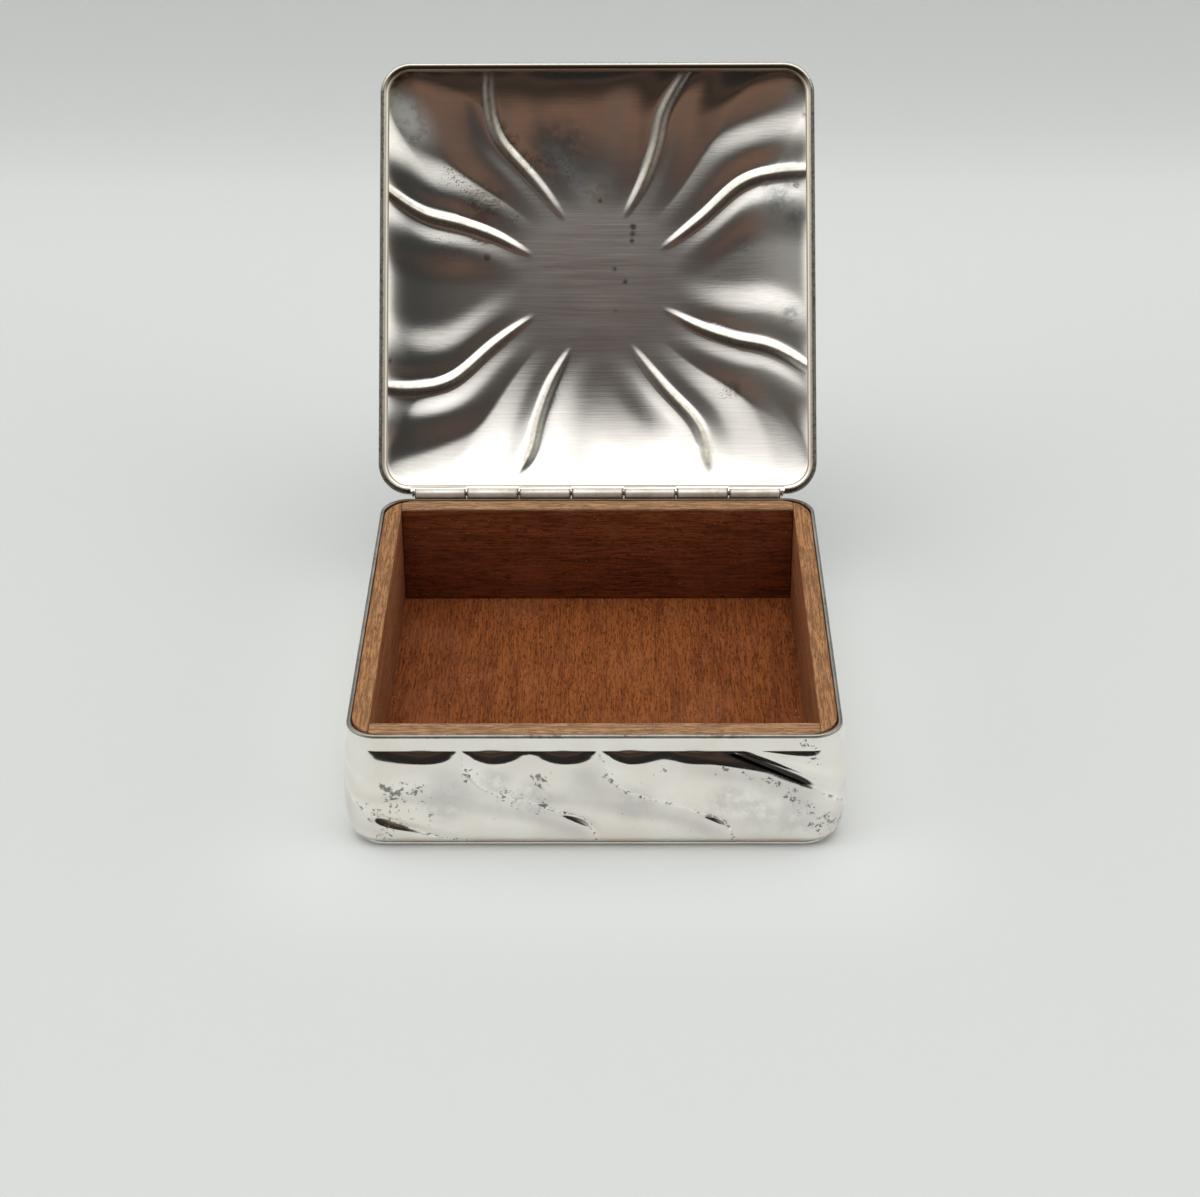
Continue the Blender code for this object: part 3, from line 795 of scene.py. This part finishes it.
def build_hinge_strip(finish):
    """The soldered strip that carries the body's knuckles along the back."""
    strip = plain_block("hinge_strip", *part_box("hinge_bearer"))
    cut(strip, hinge_bar(knuckle_radius, axis_place))
    apply_modifier(strip, "BEVEL", width=strip_edge, segments=bevel_steps, limit_method="ANGLE")
    smooth(strip, 40)
    finished(strip, finish, "box_body", "silver", "hinge_bearer")


# Lining

def board(name, first, last, frame_shape):
    """One board of the lining: a block fitted to the rounded frame, its edges eased."""
    piece = plain_block(name, first, last)
    apply_modifier(piece, "BOOLEAN", operation="INTERSECT", object=frame_shape)
    apply_modifier(piece, "BEVEL", width=board_edge, segments=bevel_steps, limit_method="ANGLE",
                   angle_limit=math.radians(40))
    smooth(piece, 40)
    return piece


def build_lining(along_x, along_y, floor_finish):
    """Four boards and a floor. The side boards run the full depth and the others butt between them."""
    floor_low, floor_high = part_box("lining_floor")
    low, high = floor_high.z, body_height - lining_drop
    outer = body_half - sheet - seat_gap
    shape = rounded_block("lining_shape", outer, lining_corner, low, high)
    inner_x, inner_y = outer - side_board, outer - end_board
    end_x = inner_x - seam_gap
    past = outer + overrun
    under, over = low - overrun, high + overrun
    boards = (
        ("left_board", (-past, -past), (-inner_x, past), along_y, "lining_left"),
        ("right_board", (inner_x, -past), (past, past), along_y, "lining_right"),
        ("front_board", (-end_x, -past), (end_x, -inner_y), along_x, "lining_front"),
        ("back_board", (-end_x, inner_y), (end_x, past), along_x, "lining_back"),
    )
    for name, first, last, finish, node in boards:
        piece = board(name, Vector((*first, under)), Vector((*last, over)), shape)
        finished(piece, finish, "box_body", "lining_wood", node)
    bpy.data.objects.remove(shape)
    tray = rounded_block("tray_floor", body_half - tray_inset, tray_corner, floor_low.z, floor_high.z)
    smooth(tray, 40)
    finished(tray, floor_finish, "box_body", "floor_wood", "lining_floor")


# Materials

cream_plate = (0.80, 0.775, 0.72)


class Value:
    """A number or colour that a node gives. Sums and products of them add the Math nodes for it."""

    def __init__(self, nodes, socket):
        self.nodes = nodes
        self.socket = socket

    def math(self, operation, *others):
        return self.nodes.add("Math", {"operation": operation}, dict(enumerate((self, *others))))

    __add__ = __radd__ = partialmethod(math, "ADD")
    __sub__ = partialmethod(math, "SUBTRACT")
    __mul__ = __rmul__ = partialmethod(math, "MULTIPLY")
    __truediv__ = partialmethod(math, "DIVIDE")
    __pow__ = partialmethod(math, "POWER")
    most = partialmethod(math, "MAXIMUM")
    least = partialmethod(math, "MINIMUM")

    def __rsub__(self, other):
        return self.nodes.add("Math", {"operation": "SUBTRACT"}, {0: other, 1: self})

    def band(self, low, high):
        """Rises smoothly from 0 at low to 1 at high."""
        values = {"Value": self, "From Min": low, "From Max": high}
        return self.nodes.add("MapRange", {"interpolation_type": "SMOOTHSTEP"}, values, "Result")


def connect(node, values):
    """Links values to a node's sockets, or sets them."""
    for name, value in values.items():
        if isinstance(value, Value):
            node.id_data.links.new(value.socket, node.inputs[name])
        else:
            node.inputs[name].default_value = value


def set_stops(elements, stops):
    """Gives a colour ramp its (place, colour) stops."""
    while len(elements) < len(stops):
        elements.new(0.5)
    for element, (spot, color) in zip(elements, stops):
        element.position = spot
        element.color = (*color, 1.0)


class Nodes:
    """The nodes of one material or world."""

    def __init__(self, tree):
        self.tree = tree

    def add(self, kind, settings=None, values=None, output=0):
        """Adds a node with its settings and the values or links of its sockets, and gives one output."""
        node = self.tree.nodes.new("ShaderNode" + kind)
        for name, value in (settings or {}).items():
            if name == "stops":
                set_stops(node.color_ramp.elements, value)
            else:
                setattr(node, name, value)
        connect(node, values or {})
        return Value(self, node.outputs[output])

    def place(self, centre=(0.0, 0.0, 0.0), turn=(0.0, 0.0, 0.0), stretch=(1.0, 1.0, 1.0)):
        """Where a point lies, from the centre and turn of a pattern's own frame, then stretched."""
        at = self.add("TexCoord", output="Object")
        values = {"Vector": at, "Location": centre, "Rotation": turn}
        own = self.add("Mapping", {"vector_type": "TEXTURE"}, values)
        return self.add("VectorMath", {"operation": "MULTIPLY"}, {0: own, 1: stretch})

    def clouds(self, at, size, detail=3.0, rough=0.55, twist=0.0):
        """Soft noise about 0.5, with lumps of a size in millimetres."""
        scale = 1 / (size * mm)
        values = {"Vector": at, "Scale": scale, "Detail": detail, "Roughness": rough, "Distortion": twist}
        return self.add("TexNoise", {}, values, "Fac")

    def blend(self, share, first, second):
        """A colour between two colours."""
        first, second = (color if isinstance(color, Value) else (*color, 1.0) for color in (first, second))
        return self.add("Mix", {"data_type": "RGBA"}, {"Factor": share, 6: first, 7: second}, 2)

    def layers(self, color, *layers):
        """A colour with others laid over it in turn, each a (share, colour)."""
        for share, over in layers:
            color = self.blend(share, color, over)
        return color

    def ramp(self, value, *stops):
        """A colour from a value, by (place, colour) stops."""
        return self.add("ValToRGB", {"stops": stops}, {"Fac": value})

    def split(self, vector):
        """The three numbers of a vector."""
        first = self.add("SeparateXYZ", {}, {"Vector": vector})
        return [Value(self, socket) for socket in first.socket.node.outputs]

    def kept_marks(self):
        """The three numbers that pressed keeps for each vertex."""
        return self.split(self.add("Attribute", {"attribute_name": "crease"}, output="Vector"))

    def near(self, at, centre, radius, soft):
        """1 within a radius of a place, falling to 0 over soft."""
        reach = self.add("VectorMath", {"operation": "DISTANCE"}, {0: at, 1: centre}, "Value")
        return 1 - reach.band(radius, radius + soft)

    def marks(self, at, places, upright=False):
        """The strongest of round marks, each (x, y, radius) in millimetres, or (x, z, radius) if upright."""
        strongest = None
        for x, other, radius in places:
            centre = (x * mm, 0.0, other * mm) if upright else (x * mm, other * mm, 0.0)
            mark = self.near(at, centre, radius * mark_core_share * mm, radius * mark_soft_share * mm)
            strongest = mark if strongest is None else mark.most(strongest)
        return strongest

    def bump(self, height, depth):
        """The normal of a surface raised by height, a number about 0 to 1, times depth in millimetres."""
        return self.add("Bump", {}, {"Height": height, "Strength": 1.0, "Distance": depth * mm}, "Normal")


class Finish(Nodes):
    """The nodes of a new material."""

    def __init__(self, name):
        self.material = bpy.data.materials.new(name)
        self.material.use_nodes = True
        super().__init__(self.material.node_tree)

    def surface(self, color, metallic, rough, **others):
        """Links values to the shader's sockets, or sets them, and gives the material."""
        values = {"Base Color": color, "Metallic": metallic, "Roughness": rough, **others}
        connect(self.tree.nodes["Principled BSDF"], values)
        return self.material


def shaded(color, share):
    """A colour made darker or lighter."""
    return tuple(part * share for part in color)


def silver_body():
    """Worn silver plate: bright, slightly warm, with dark pits and rubbed creases, partly a painted
    highlight, painted shade beside the creases, painted grey reflections and a painted dark reflection by the
    corner crease.
    """
    nodes = Finish("silver_body")
    at = nodes.place()
    smear = nodes.clouds(at, 13, 4.0)
    fine = nodes.clouds(at, 0.9, 3.0)
    broken = nodes.clouds(at, 1.1, 4.0, 0.75)
    ragged = nodes.clouds(at, 2.6, 3.0, 0.7)
    stray = (broken - 0.66).band(0.0, 0.05) * nodes.clouds(at, 9, 2.0).band(0.54, 0.66)
    front = 1 - nodes.split(at)[1].band(-body_half + 4 * mm, -body_half + 6 * mm)
    flat = nodes.place(stretch=(1.0, 0.0, 1.0))
    pitted = nodes.marks(flat, wall_pits, upright=True) * front
    pits = (broken - 0.60 + (ragged - 0.5) * 0.6 + pitted * 0.06).band(0.0, 0.06) * pitted.band(0.0, 0.3)
    # Painted reflection: grey clouds of darker things, also rougher
    painted_reflection_grey = nodes.marks(flat, painted_reflection_clouds, upright=True) * front * ragged.band(0.3, 0.6)
    edge, painted_shade, painted_dark_reflection = nodes.kept_marks()
    # Rubbed lighter along the creases, partly a painted highlight
    rubbed = edge * ragged.band(0.36, 0.5)
    chipped = (broken - 0.57 + edge * 0.04).band(0.0, 0.05) * edge.band(0.05, 0.6)
    worn = stray.most(pits).most(chipped)
    color = nodes.layers(
        (0.95, 0.92, 0.865),
        (smear.band(0.35, 0.65), (0.89, 0.84, 0.77)),
        (painted_reflection_grey * 0.5, (0.52, 0.51, 0.50)),
        # Painted shade beside each crease
        (painted_shade * (0.15 + smear * 1.2) * 0.8, (0.60, 0.58, 0.56)),
        (rubbed, (0.98, 0.96, 0.92)),
        (worn * 0.85, (0.19, 0.18, 0.165)),
        # Painted dark reflection in the corner crease
        (painted_dark_reflection.band(0.25, 0.60) * front, (0.045, 0.038, 0.034)),
    )
    rough = 0.06 + fine * 0.05 + worn * 0.3 + painted_reflection_grey * 0.12 + rubbed * 0.25
    return nodes.surface(color, 1.0, rough, Normal=nodes.bump(fine, 0.003))


def joint_share(x):
    """1 at the joints between the knuckles, by the place along X."""
    share = ((x - (knuckle_starts[0] - knuckle_space / 2)) / knuckle_pitch).math("FRACT")
    return 1 - (share.least(1 - share) * knuckle_pitch).band(0.25 * mm, 0.75 * mm)


def dull_plate(nodes, color, rubbed, spots, metallic=1.0):
    """The material of dull, spotted plate in a colour."""
    rough = 0.30 + rubbed * 0.12 + spots * 0.15
    return nodes.surface(color, metallic, rough, Normal=nodes.bump(rubbed, 0.01))


def silver_edge(name, tarnished, bright, metallic, joints):
    """The mouth wire and hinge: plate rubbed dull and creamy, with dark brown tarnish in spots along it.

    joints is how dark the tarnish lies at the knuckles' joints."""
    nodes = Finish(name)
    at = nodes.place()
    rubbed = nodes.clouds(at, 5, 4.0, 0.65)
    tarnish = nodes.clouds(at, 0.9, 4.0, 0.7) * 0.6 + nodes.clouds(at, 8, 2.0) * 0.4
    spots = tarnish.band(0.54, 0.62) * tarnished
    x, y, z = nodes.split(at)
    back = y.band(body_half - 4.0 * mm, body_half - 1.2 * mm)
    back *= 1 - z.band(body_height, body_height + 0.2 * mm)
    color = nodes.layers(
        shaded(cream_plate, bright),
        (rubbed.band(0.35, 0.65), shaded((0.66, 0.61, 0.53), bright)),
        (spots * 0.8, (0.16, 0.11, 0.07)),
        ((back * 0.85).most(joint_share(x) * joints), (0.10, 0.065, 0.042)),
    )
    return dull_plate(nodes, color, rubbed, spots, metallic)


def lid_frame(nodes, stretch=(1.0, 1.0, 1.0)):
    """A place on the lid as it lies closed: x along the hinge, y from it towards the front edge, below 0."""
    return nodes.place(axis_place, (-open_angle, 0.0, 0.0), stretch)


def silver_lid_edge():
    """The lid's edging: cream, its outer side grey and speckled, its front edge dark brown in the middle, a
    painted dark reflection.
    """
    nodes = Finish("silver_lid_edge")
    at = lid_frame(nodes)
    x, y, _ = nodes.split(at)
    straight = lid_half - lid_corner
    beside = (x.math("ABSOLUTE") - straight).most(0.0)
    before = ((y + lid_half).math("ABSOLUTE") - straight).most(0.0)
    inward = (lid_corner - (beside * beside + before * before) ** 0.5) / lid_edge_width
    front = (0 - y).band(2 * lid_half - 8 * mm, 2 * lid_half - 2.5 * mm)
    rubbed = nodes.clouds(at, 5, 4.0, 0.65)
    speckle = nodes.clouds(at, 0.7, 4.0, 0.7)
    sides = nodes.ramp(
        inward, (0.0, (0.13, 0.118, 0.098)), (0.38, (0.17, 0.155, 0.128)), (0.48, (0.72, 0.68, 0.59)),
        (0.80, (0.80, 0.76, 0.66)), (0.92, (0.34, 0.26, 0.17)),
    )
    # Painted reflection across the front edge's section: dark brown in the middle
    front_reflection_bands = nodes.ramp(
        inward, (0.0, cream_plate), (0.26, (0.75, 0.72, 0.66)), (0.40, (0.055, 0.036, 0.022)),
        (0.70, (0.075, 0.050, 0.032)), (0.84, (0.38, 0.31, 0.22)), (1.0, (0.22, 0.15, 0.09)),
    )
    spots = speckle.band(0.50, 0.58) * (1 - inward).band(0.30, 0.80) * (1 - front * 0.8)
    color = nodes.layers(sides, (front, front_reflection_bands), (spots * 0.8, (0.05, 0.038, 0.026)))
    return dull_plate(nodes, color, rubbed, spots)


def silver_lid():
    """The lid's silver: brushed along the hinge, duller in the middle and painted darker and browner there, a
    painted dark reflection, its crests painted darker to dim their highlight, with old tarnish.
    """
    nodes = Finish("silver_lid")
    at = lid_frame(nodes)
    flat = lid_frame(nodes, (1.0, 1.0, 0.0))
    lines = nodes.clouds(lid_frame(nodes, (0.035, 1.0, 1.0)), 0.5, 3.0, 0.6)
    strokes = nodes.clouds(lid_frame(nodes, (0.05, 1.0, 1.0)), 1.6, 3.0, 0.65)
    smear = nodes.clouds(at, 14, 4.0)
    mottle = nodes.clouds(at, 1.3, 5.0, 0.7)
    crest, _, inside = nodes.kept_marks()
    crest = crest * inside
    # Painted dark reflection: the middle is painted darker and browner, and is duller
    middle = nodes.near(flat, (0.0, -lid_half, 0.0), 8 * mm, 24 * mm) * inside
    patches = nodes.clouds(at, 2.4, 4.0, 0.6)
    blue = nodes.marks(flat, lid_blotches) * patches.band(0.28, 0.62) * inside
    specked = nodes.marks(flat, lid_specks) * inside
    specks = (nodes.clouds(at, 0.45, 2.0, 0.6) - 0.66 + specked * 0.07).band(0.0, 0.05) * specked
    spots = nodes.marks(flat, lid_spots) * mottle.band(0.34, 0.56) * inside
    browned = nodes.marks(flat, lid_browned) * patches.band(0.30, 0.62) * inside
    x, y, _ = nodes.split(at)
    x, y = x - bloom_middle[0], y - bloom_middle[1]
    along = (x * math.cos(bloom_turn) + y * math.sin(bloom_turn)) / bloom_reach[0]
    across = (y * math.cos(bloom_turn) - x * math.sin(bloom_turn)) / bloom_reach[1]
    haze = (1 - ((along * along + across * across) ** 0.5).band(0.0, 1.0)) ** 1.5 * inside
    haze *= 0.62 + patches.band(0.36, 0.58) * 0.35
    color = nodes.layers(
        (0.84, 0.815, 0.77),
        (smear.band(0.35, 0.7), (0.77, 0.735, 0.69)),
        (middle * (0.78 + (strokes - 0.46) * 1.2), (0.39, 0.33, 0.30)),
        ((lines - 0.42) * (1 - middle * 0.3), (0.95, 0.92, 0.90)),
        (blue * 0.70, (0.20, 0.225, 0.245)),
        (browned * 0.6, (0.34, 0.27, 0.18)),
        # The crests painted darker and browner to dim their highlight, and rougher
        (crest.band(0.20, 0.85) * (0.65 + mottle.band(0.45, 0.62) * 0.35), (0.48, 0.445, 0.37)),
        (haze, (0.60, 0.60, 0.58)),
        (specks.most(spots) * 0.8, (0.06, 0.058, 0.056)),
    )
    rough = 0.11 + smear * 0.06 + middle * (0.05 + strokes * 0.06) + blue * 0.06 + crest * 0.18
    return nodes.surface(color, 1 - haze * 0.8, rough, Normal=nodes.bump(lines, 0.006))


def wood(name, grain_turn, deep, pale, worn_top):
    """Open-grained reddish wood, its grain along the pattern's x, paler and dusty on the top edges."""
    nodes = Finish(name)
    at = nodes.place()
    bands, streaks, pores = (
        nodes.clouds(nodes.place(turn=(0.0, 0.0, grain_turn), stretch=(along, 1.0, 1.0)), *cloud)
        for along, *cloud in ((0.07, 3.2, 4.0, 0.6, 0.4), (0.06, 0.45, 3.0, 0.65), (0.16, 0.30, 2.0))
    )
    pore = pores.band(0.54, 0.66)
    tone = bands * 0.38 + streaks * 0.62
    top = nodes.split(at)[2].band(body_height - 0.9 * mm, body_height - 0.5 * mm)
    dusty = nodes.clouds(at, 4.0, 4.0, 0.65)
    smear = nodes.clouds(at, 16, 3.0).band(0.50, 0.70)
    specks = nodes.clouds(at, 0.5, 1.0).band(0.74, 0.77)
    furrow = (pore * 0.9).most((0.55 - streaks).band(0.0, 0.10) * 0.75)
    worn = nodes.layers(
        worn_top, (dusty.band(0.35, 0.70), shaded(worn_top, 0.80)), (furrow, shaded(worn_top, 0.40)))
    color = nodes.layers(
        nodes.ramp(tone.band(0.38, 0.62), (0.0, deep), (1.0, pale)),
        (pore * 0.75, shaded(deep, 0.4)),
        (smear * 0.22, tuple(part * 1.1 + 0.03 for part in pale)),
        (specks * 0.6, (0.55, 0.42, 0.30)),
        (top, worn),
    )
    others = {"Specular IOR Level": 0.14, "Normal": nodes.bump(streaks * 0.5 - pore, 0.08)}
    return nodes.surface(color, 0.0, 0.60 + streaks * 0.15, **others)


# Studio

def build_table():
    """A pale table that sweeps up behind the box, with painted light: a gradient of brightness along it and a
    pool round the box's foot.
    """
    front, back, half, rise_radius, wall_top = -0.24, 0.40, 1.3, 0.25, 0.80
    columns, rows = 4, 40
    flat = back - front
    bend = math.pi / 2 * rise_radius
    total = flat + bend + (wall_top - rise_radius)

    def place(column, row):
        x = -half + 2 * half * column / columns
        run = total * row / rows
        if run <= flat:
            return Vector((x, front + run, 0.0))
        if run <= flat + bend:
            angle = (run - flat) / rise_radius
            return Vector((x, back + rise_radius * math.sin(angle), rise_radius * (1 - math.cos(angle))))
        return Vector((x, back + rise_radius, rise_radius + run - flat - bend))

    table = pressed("table", columns, rows, place)
    select_only(table)
    bpy.ops.object.shade_smooth()
    nodes = Finish("pale_table")
    x, y, _ = nodes.split(nodes.place())
    pale = (0.650, 0.667, 0.664)
    # Painted light: the colour grows lighter towards the back of the flat part and darker where it sweeps up
    shares = ((0.0, 1.0), (0.23, 1.04), (0.46, 1.08), (0.69, 1.13), (0.80, 1.12), (0.90, 1.0), (1.0, 0.92))
    color = nodes.ramp(y.band(-0.15, 0.50), *((spot, shaded(pale, share)) for spot, share in shares))
    # A painted pool of light round the box's foot, against its shadow
    beside, before = ((value.math("ABSOLUTE") - body_half).most(0.0) for value in (x, y))
    painted_light_near_box = (1 - ((beside * beside + before * before) ** 0.5).band(-10 * mm, 55 * mm)) ** 2.0
    color = nodes.blend(painted_light_near_box, color, shaded(pale, 1.22))
    table.data.materials.append(nodes.surface(color, 0.0, 0.8))


# How much of the cloth is seen, from 0.70 of the way up to straight up
cloth_shares = (
    (0, 0), (0.05, 0), (0.104, 0.045), (0.176, 0.15), (0.26, 0.26), (0.5, 0.42), (0.758, 0.64),
    (0.97, 1),
)


def build_world():
    """The studio: a bright cloth overhead, pale sides and back, and a dim brown room in front."""
    world = bpy.data.worlds.new("studio")
    bpy.context.scene.world = world
    world.use_nodes = True
    nodes = Nodes(world.node_tree)
    direction = nodes.add("TexCoord", output="Generated")
    x, y, z = nodes.split(direction)
    aside = x / ((x * x + y * y) ** 0.5 + 0.001)
    high = z.band(0.42, 0.80)
    left = (0 - aside).band(0.10, 0.90) * z.band(0.50, 0.84)
    right = aside.band(0.50, 0.82) * (0.4 + high * 0.6)
    far = aside.math("ABSOLUTE").band(0.64, 0.90)
    behind = y.band(-0.10, 0.15)
    room = nodes.ramp(
        z, (0.0, (0.018, 0.017, 0.016)), (0.14, (0.024, 0.020, 0.018)), (0.23, (0.065, 0.042, 0.033)),
        (0.30, (0.035, 0.026, 0.021)), (0.38, (0.045, 0.032, 0.025)), (0.48, (0.20, 0.115, 0.082)),
        (0.60, (0.14, 0.088, 0.066)), (0.68, (0.045, 0.039, 0.036)), (1.0, (0.045, 0.042, 0.040)),
    )
    side = nodes.blend((aside + 1) / 2, (0.85, 0.85, 0.83), (0.34, 0.34, 0.33))
    around = nodes.layers(
        room,
        (aside.band(0.10, 0.34) * z.band(0.40, 0.56), (0.040, 0.041, 0.038)),
        ((0 - aside).band(0.15, 0.40) * z.band(0.36, 0.50), (0.115, 0.112, 0.104)),
        (left.most(right), side),
        (far.most(behind), (1.2, 1.2, 1.17)),
    )
    cloth_place = (-0.05, -0.03, 0.998)
    above = nodes.add("VectorMath", {"operation": "DOT_PRODUCT"}, {0: direction, 1: cloth_place}, "Value")
    cloth = nodes.blend((0 - y).band(-0.55, 0.35), (1.0, 1.0, 0.99), (2.7, 2.7, 2.66))
    near_cloth = nodes.ramp(above.band(0.70, 1.0), *((place, (share,) * 3) for place, share in cloth_shares))
    seen = nodes.add("LightPath", output="Is Camera Ray")
    color = nodes.layers(around, (near_cloth, cloth), (seen, (0.72, 0.72, 0.72)))
    world.node_tree.links.new(color.socket, world.node_tree.nodes["Background"].inputs["Color"])


def build_camera():
    """The photograph's view, from the front and about thirty degrees above."""
    pitch, yaw, roll = (math.radians(angle) for angle in (30.55, -0.50, -0.32))
    target = Vector((0.89 * mm, 0.0, 29.61 * mm))
    distance = 555.84 * mm
    ahead = Vector((math.sin(yaw) * math.cos(pitch), math.cos(yaw) * math.cos(pitch), -math.sin(pitch)))
    right = ahead.cross(Vector((0.0, 0.0, 1.0))).normalized()
    turn = Matrix((right, right.cross(ahead), -ahead)).transposed() @ Matrix.Rotation(roll, 3, "Z")
    data = bpy.data.cameras.new("camera")
    camera = bpy.data.objects.new("camera", data)
    bpy.context.scene.collection.objects.link(camera)
    camera.matrix_world = Matrix.Translation(target - ahead * distance) @ turn.to_4x4()
    data.sensor_width = 36.0
    data.lens = 77.42
    data.clip_start = 0.01
    bpy.context.scene.camera = camera


def main():
    body_silver, top_silver = silver_body(), silver_lid()
    mouth_silver = silver_edge("silver_mouth", tarnished=0.85, bright=0.45, metallic=1.0, joints=0.0)
    hinge_silver = silver_edge("silver_hinge", tarnished=0.25, bright=1.0, metallic=0.45, joints=0.9)
    worn_sides = (0.46, 0.225, 0.098)
    along_x = wood("wood_ends", 0.0, (0.125, 0.030, 0.010), (0.26, 0.072, 0.025), (0.48, 0.262, 0.138))
    along_y = wood("wood_sides", math.pi / 2, (0.19, 0.066, 0.024), (0.32, 0.125, 0.05), worn_sides)
    tray_wood = wood("wood_floor", math.pi / 2, (0.150, 0.037, 0.009), (0.29, 0.085, 0.021), worn_sides)
    build_wall(body_silver)
    build_mouth_wire(mouth_silver)
    build_base(body_silver)
    build_lid(top_silver)
    build_lid_edge(silver_lid_edge())
    build_knuckles(hinge_silver)
    build_pin(hinge_silver)
    build_hinge_strip(body_silver)
    build_lining(along_x, along_y, tray_wood)
    build_table()
    build_world()
    build_camera()
    bpy.context.scene.view_settings.view_transform = "Standard"


main()
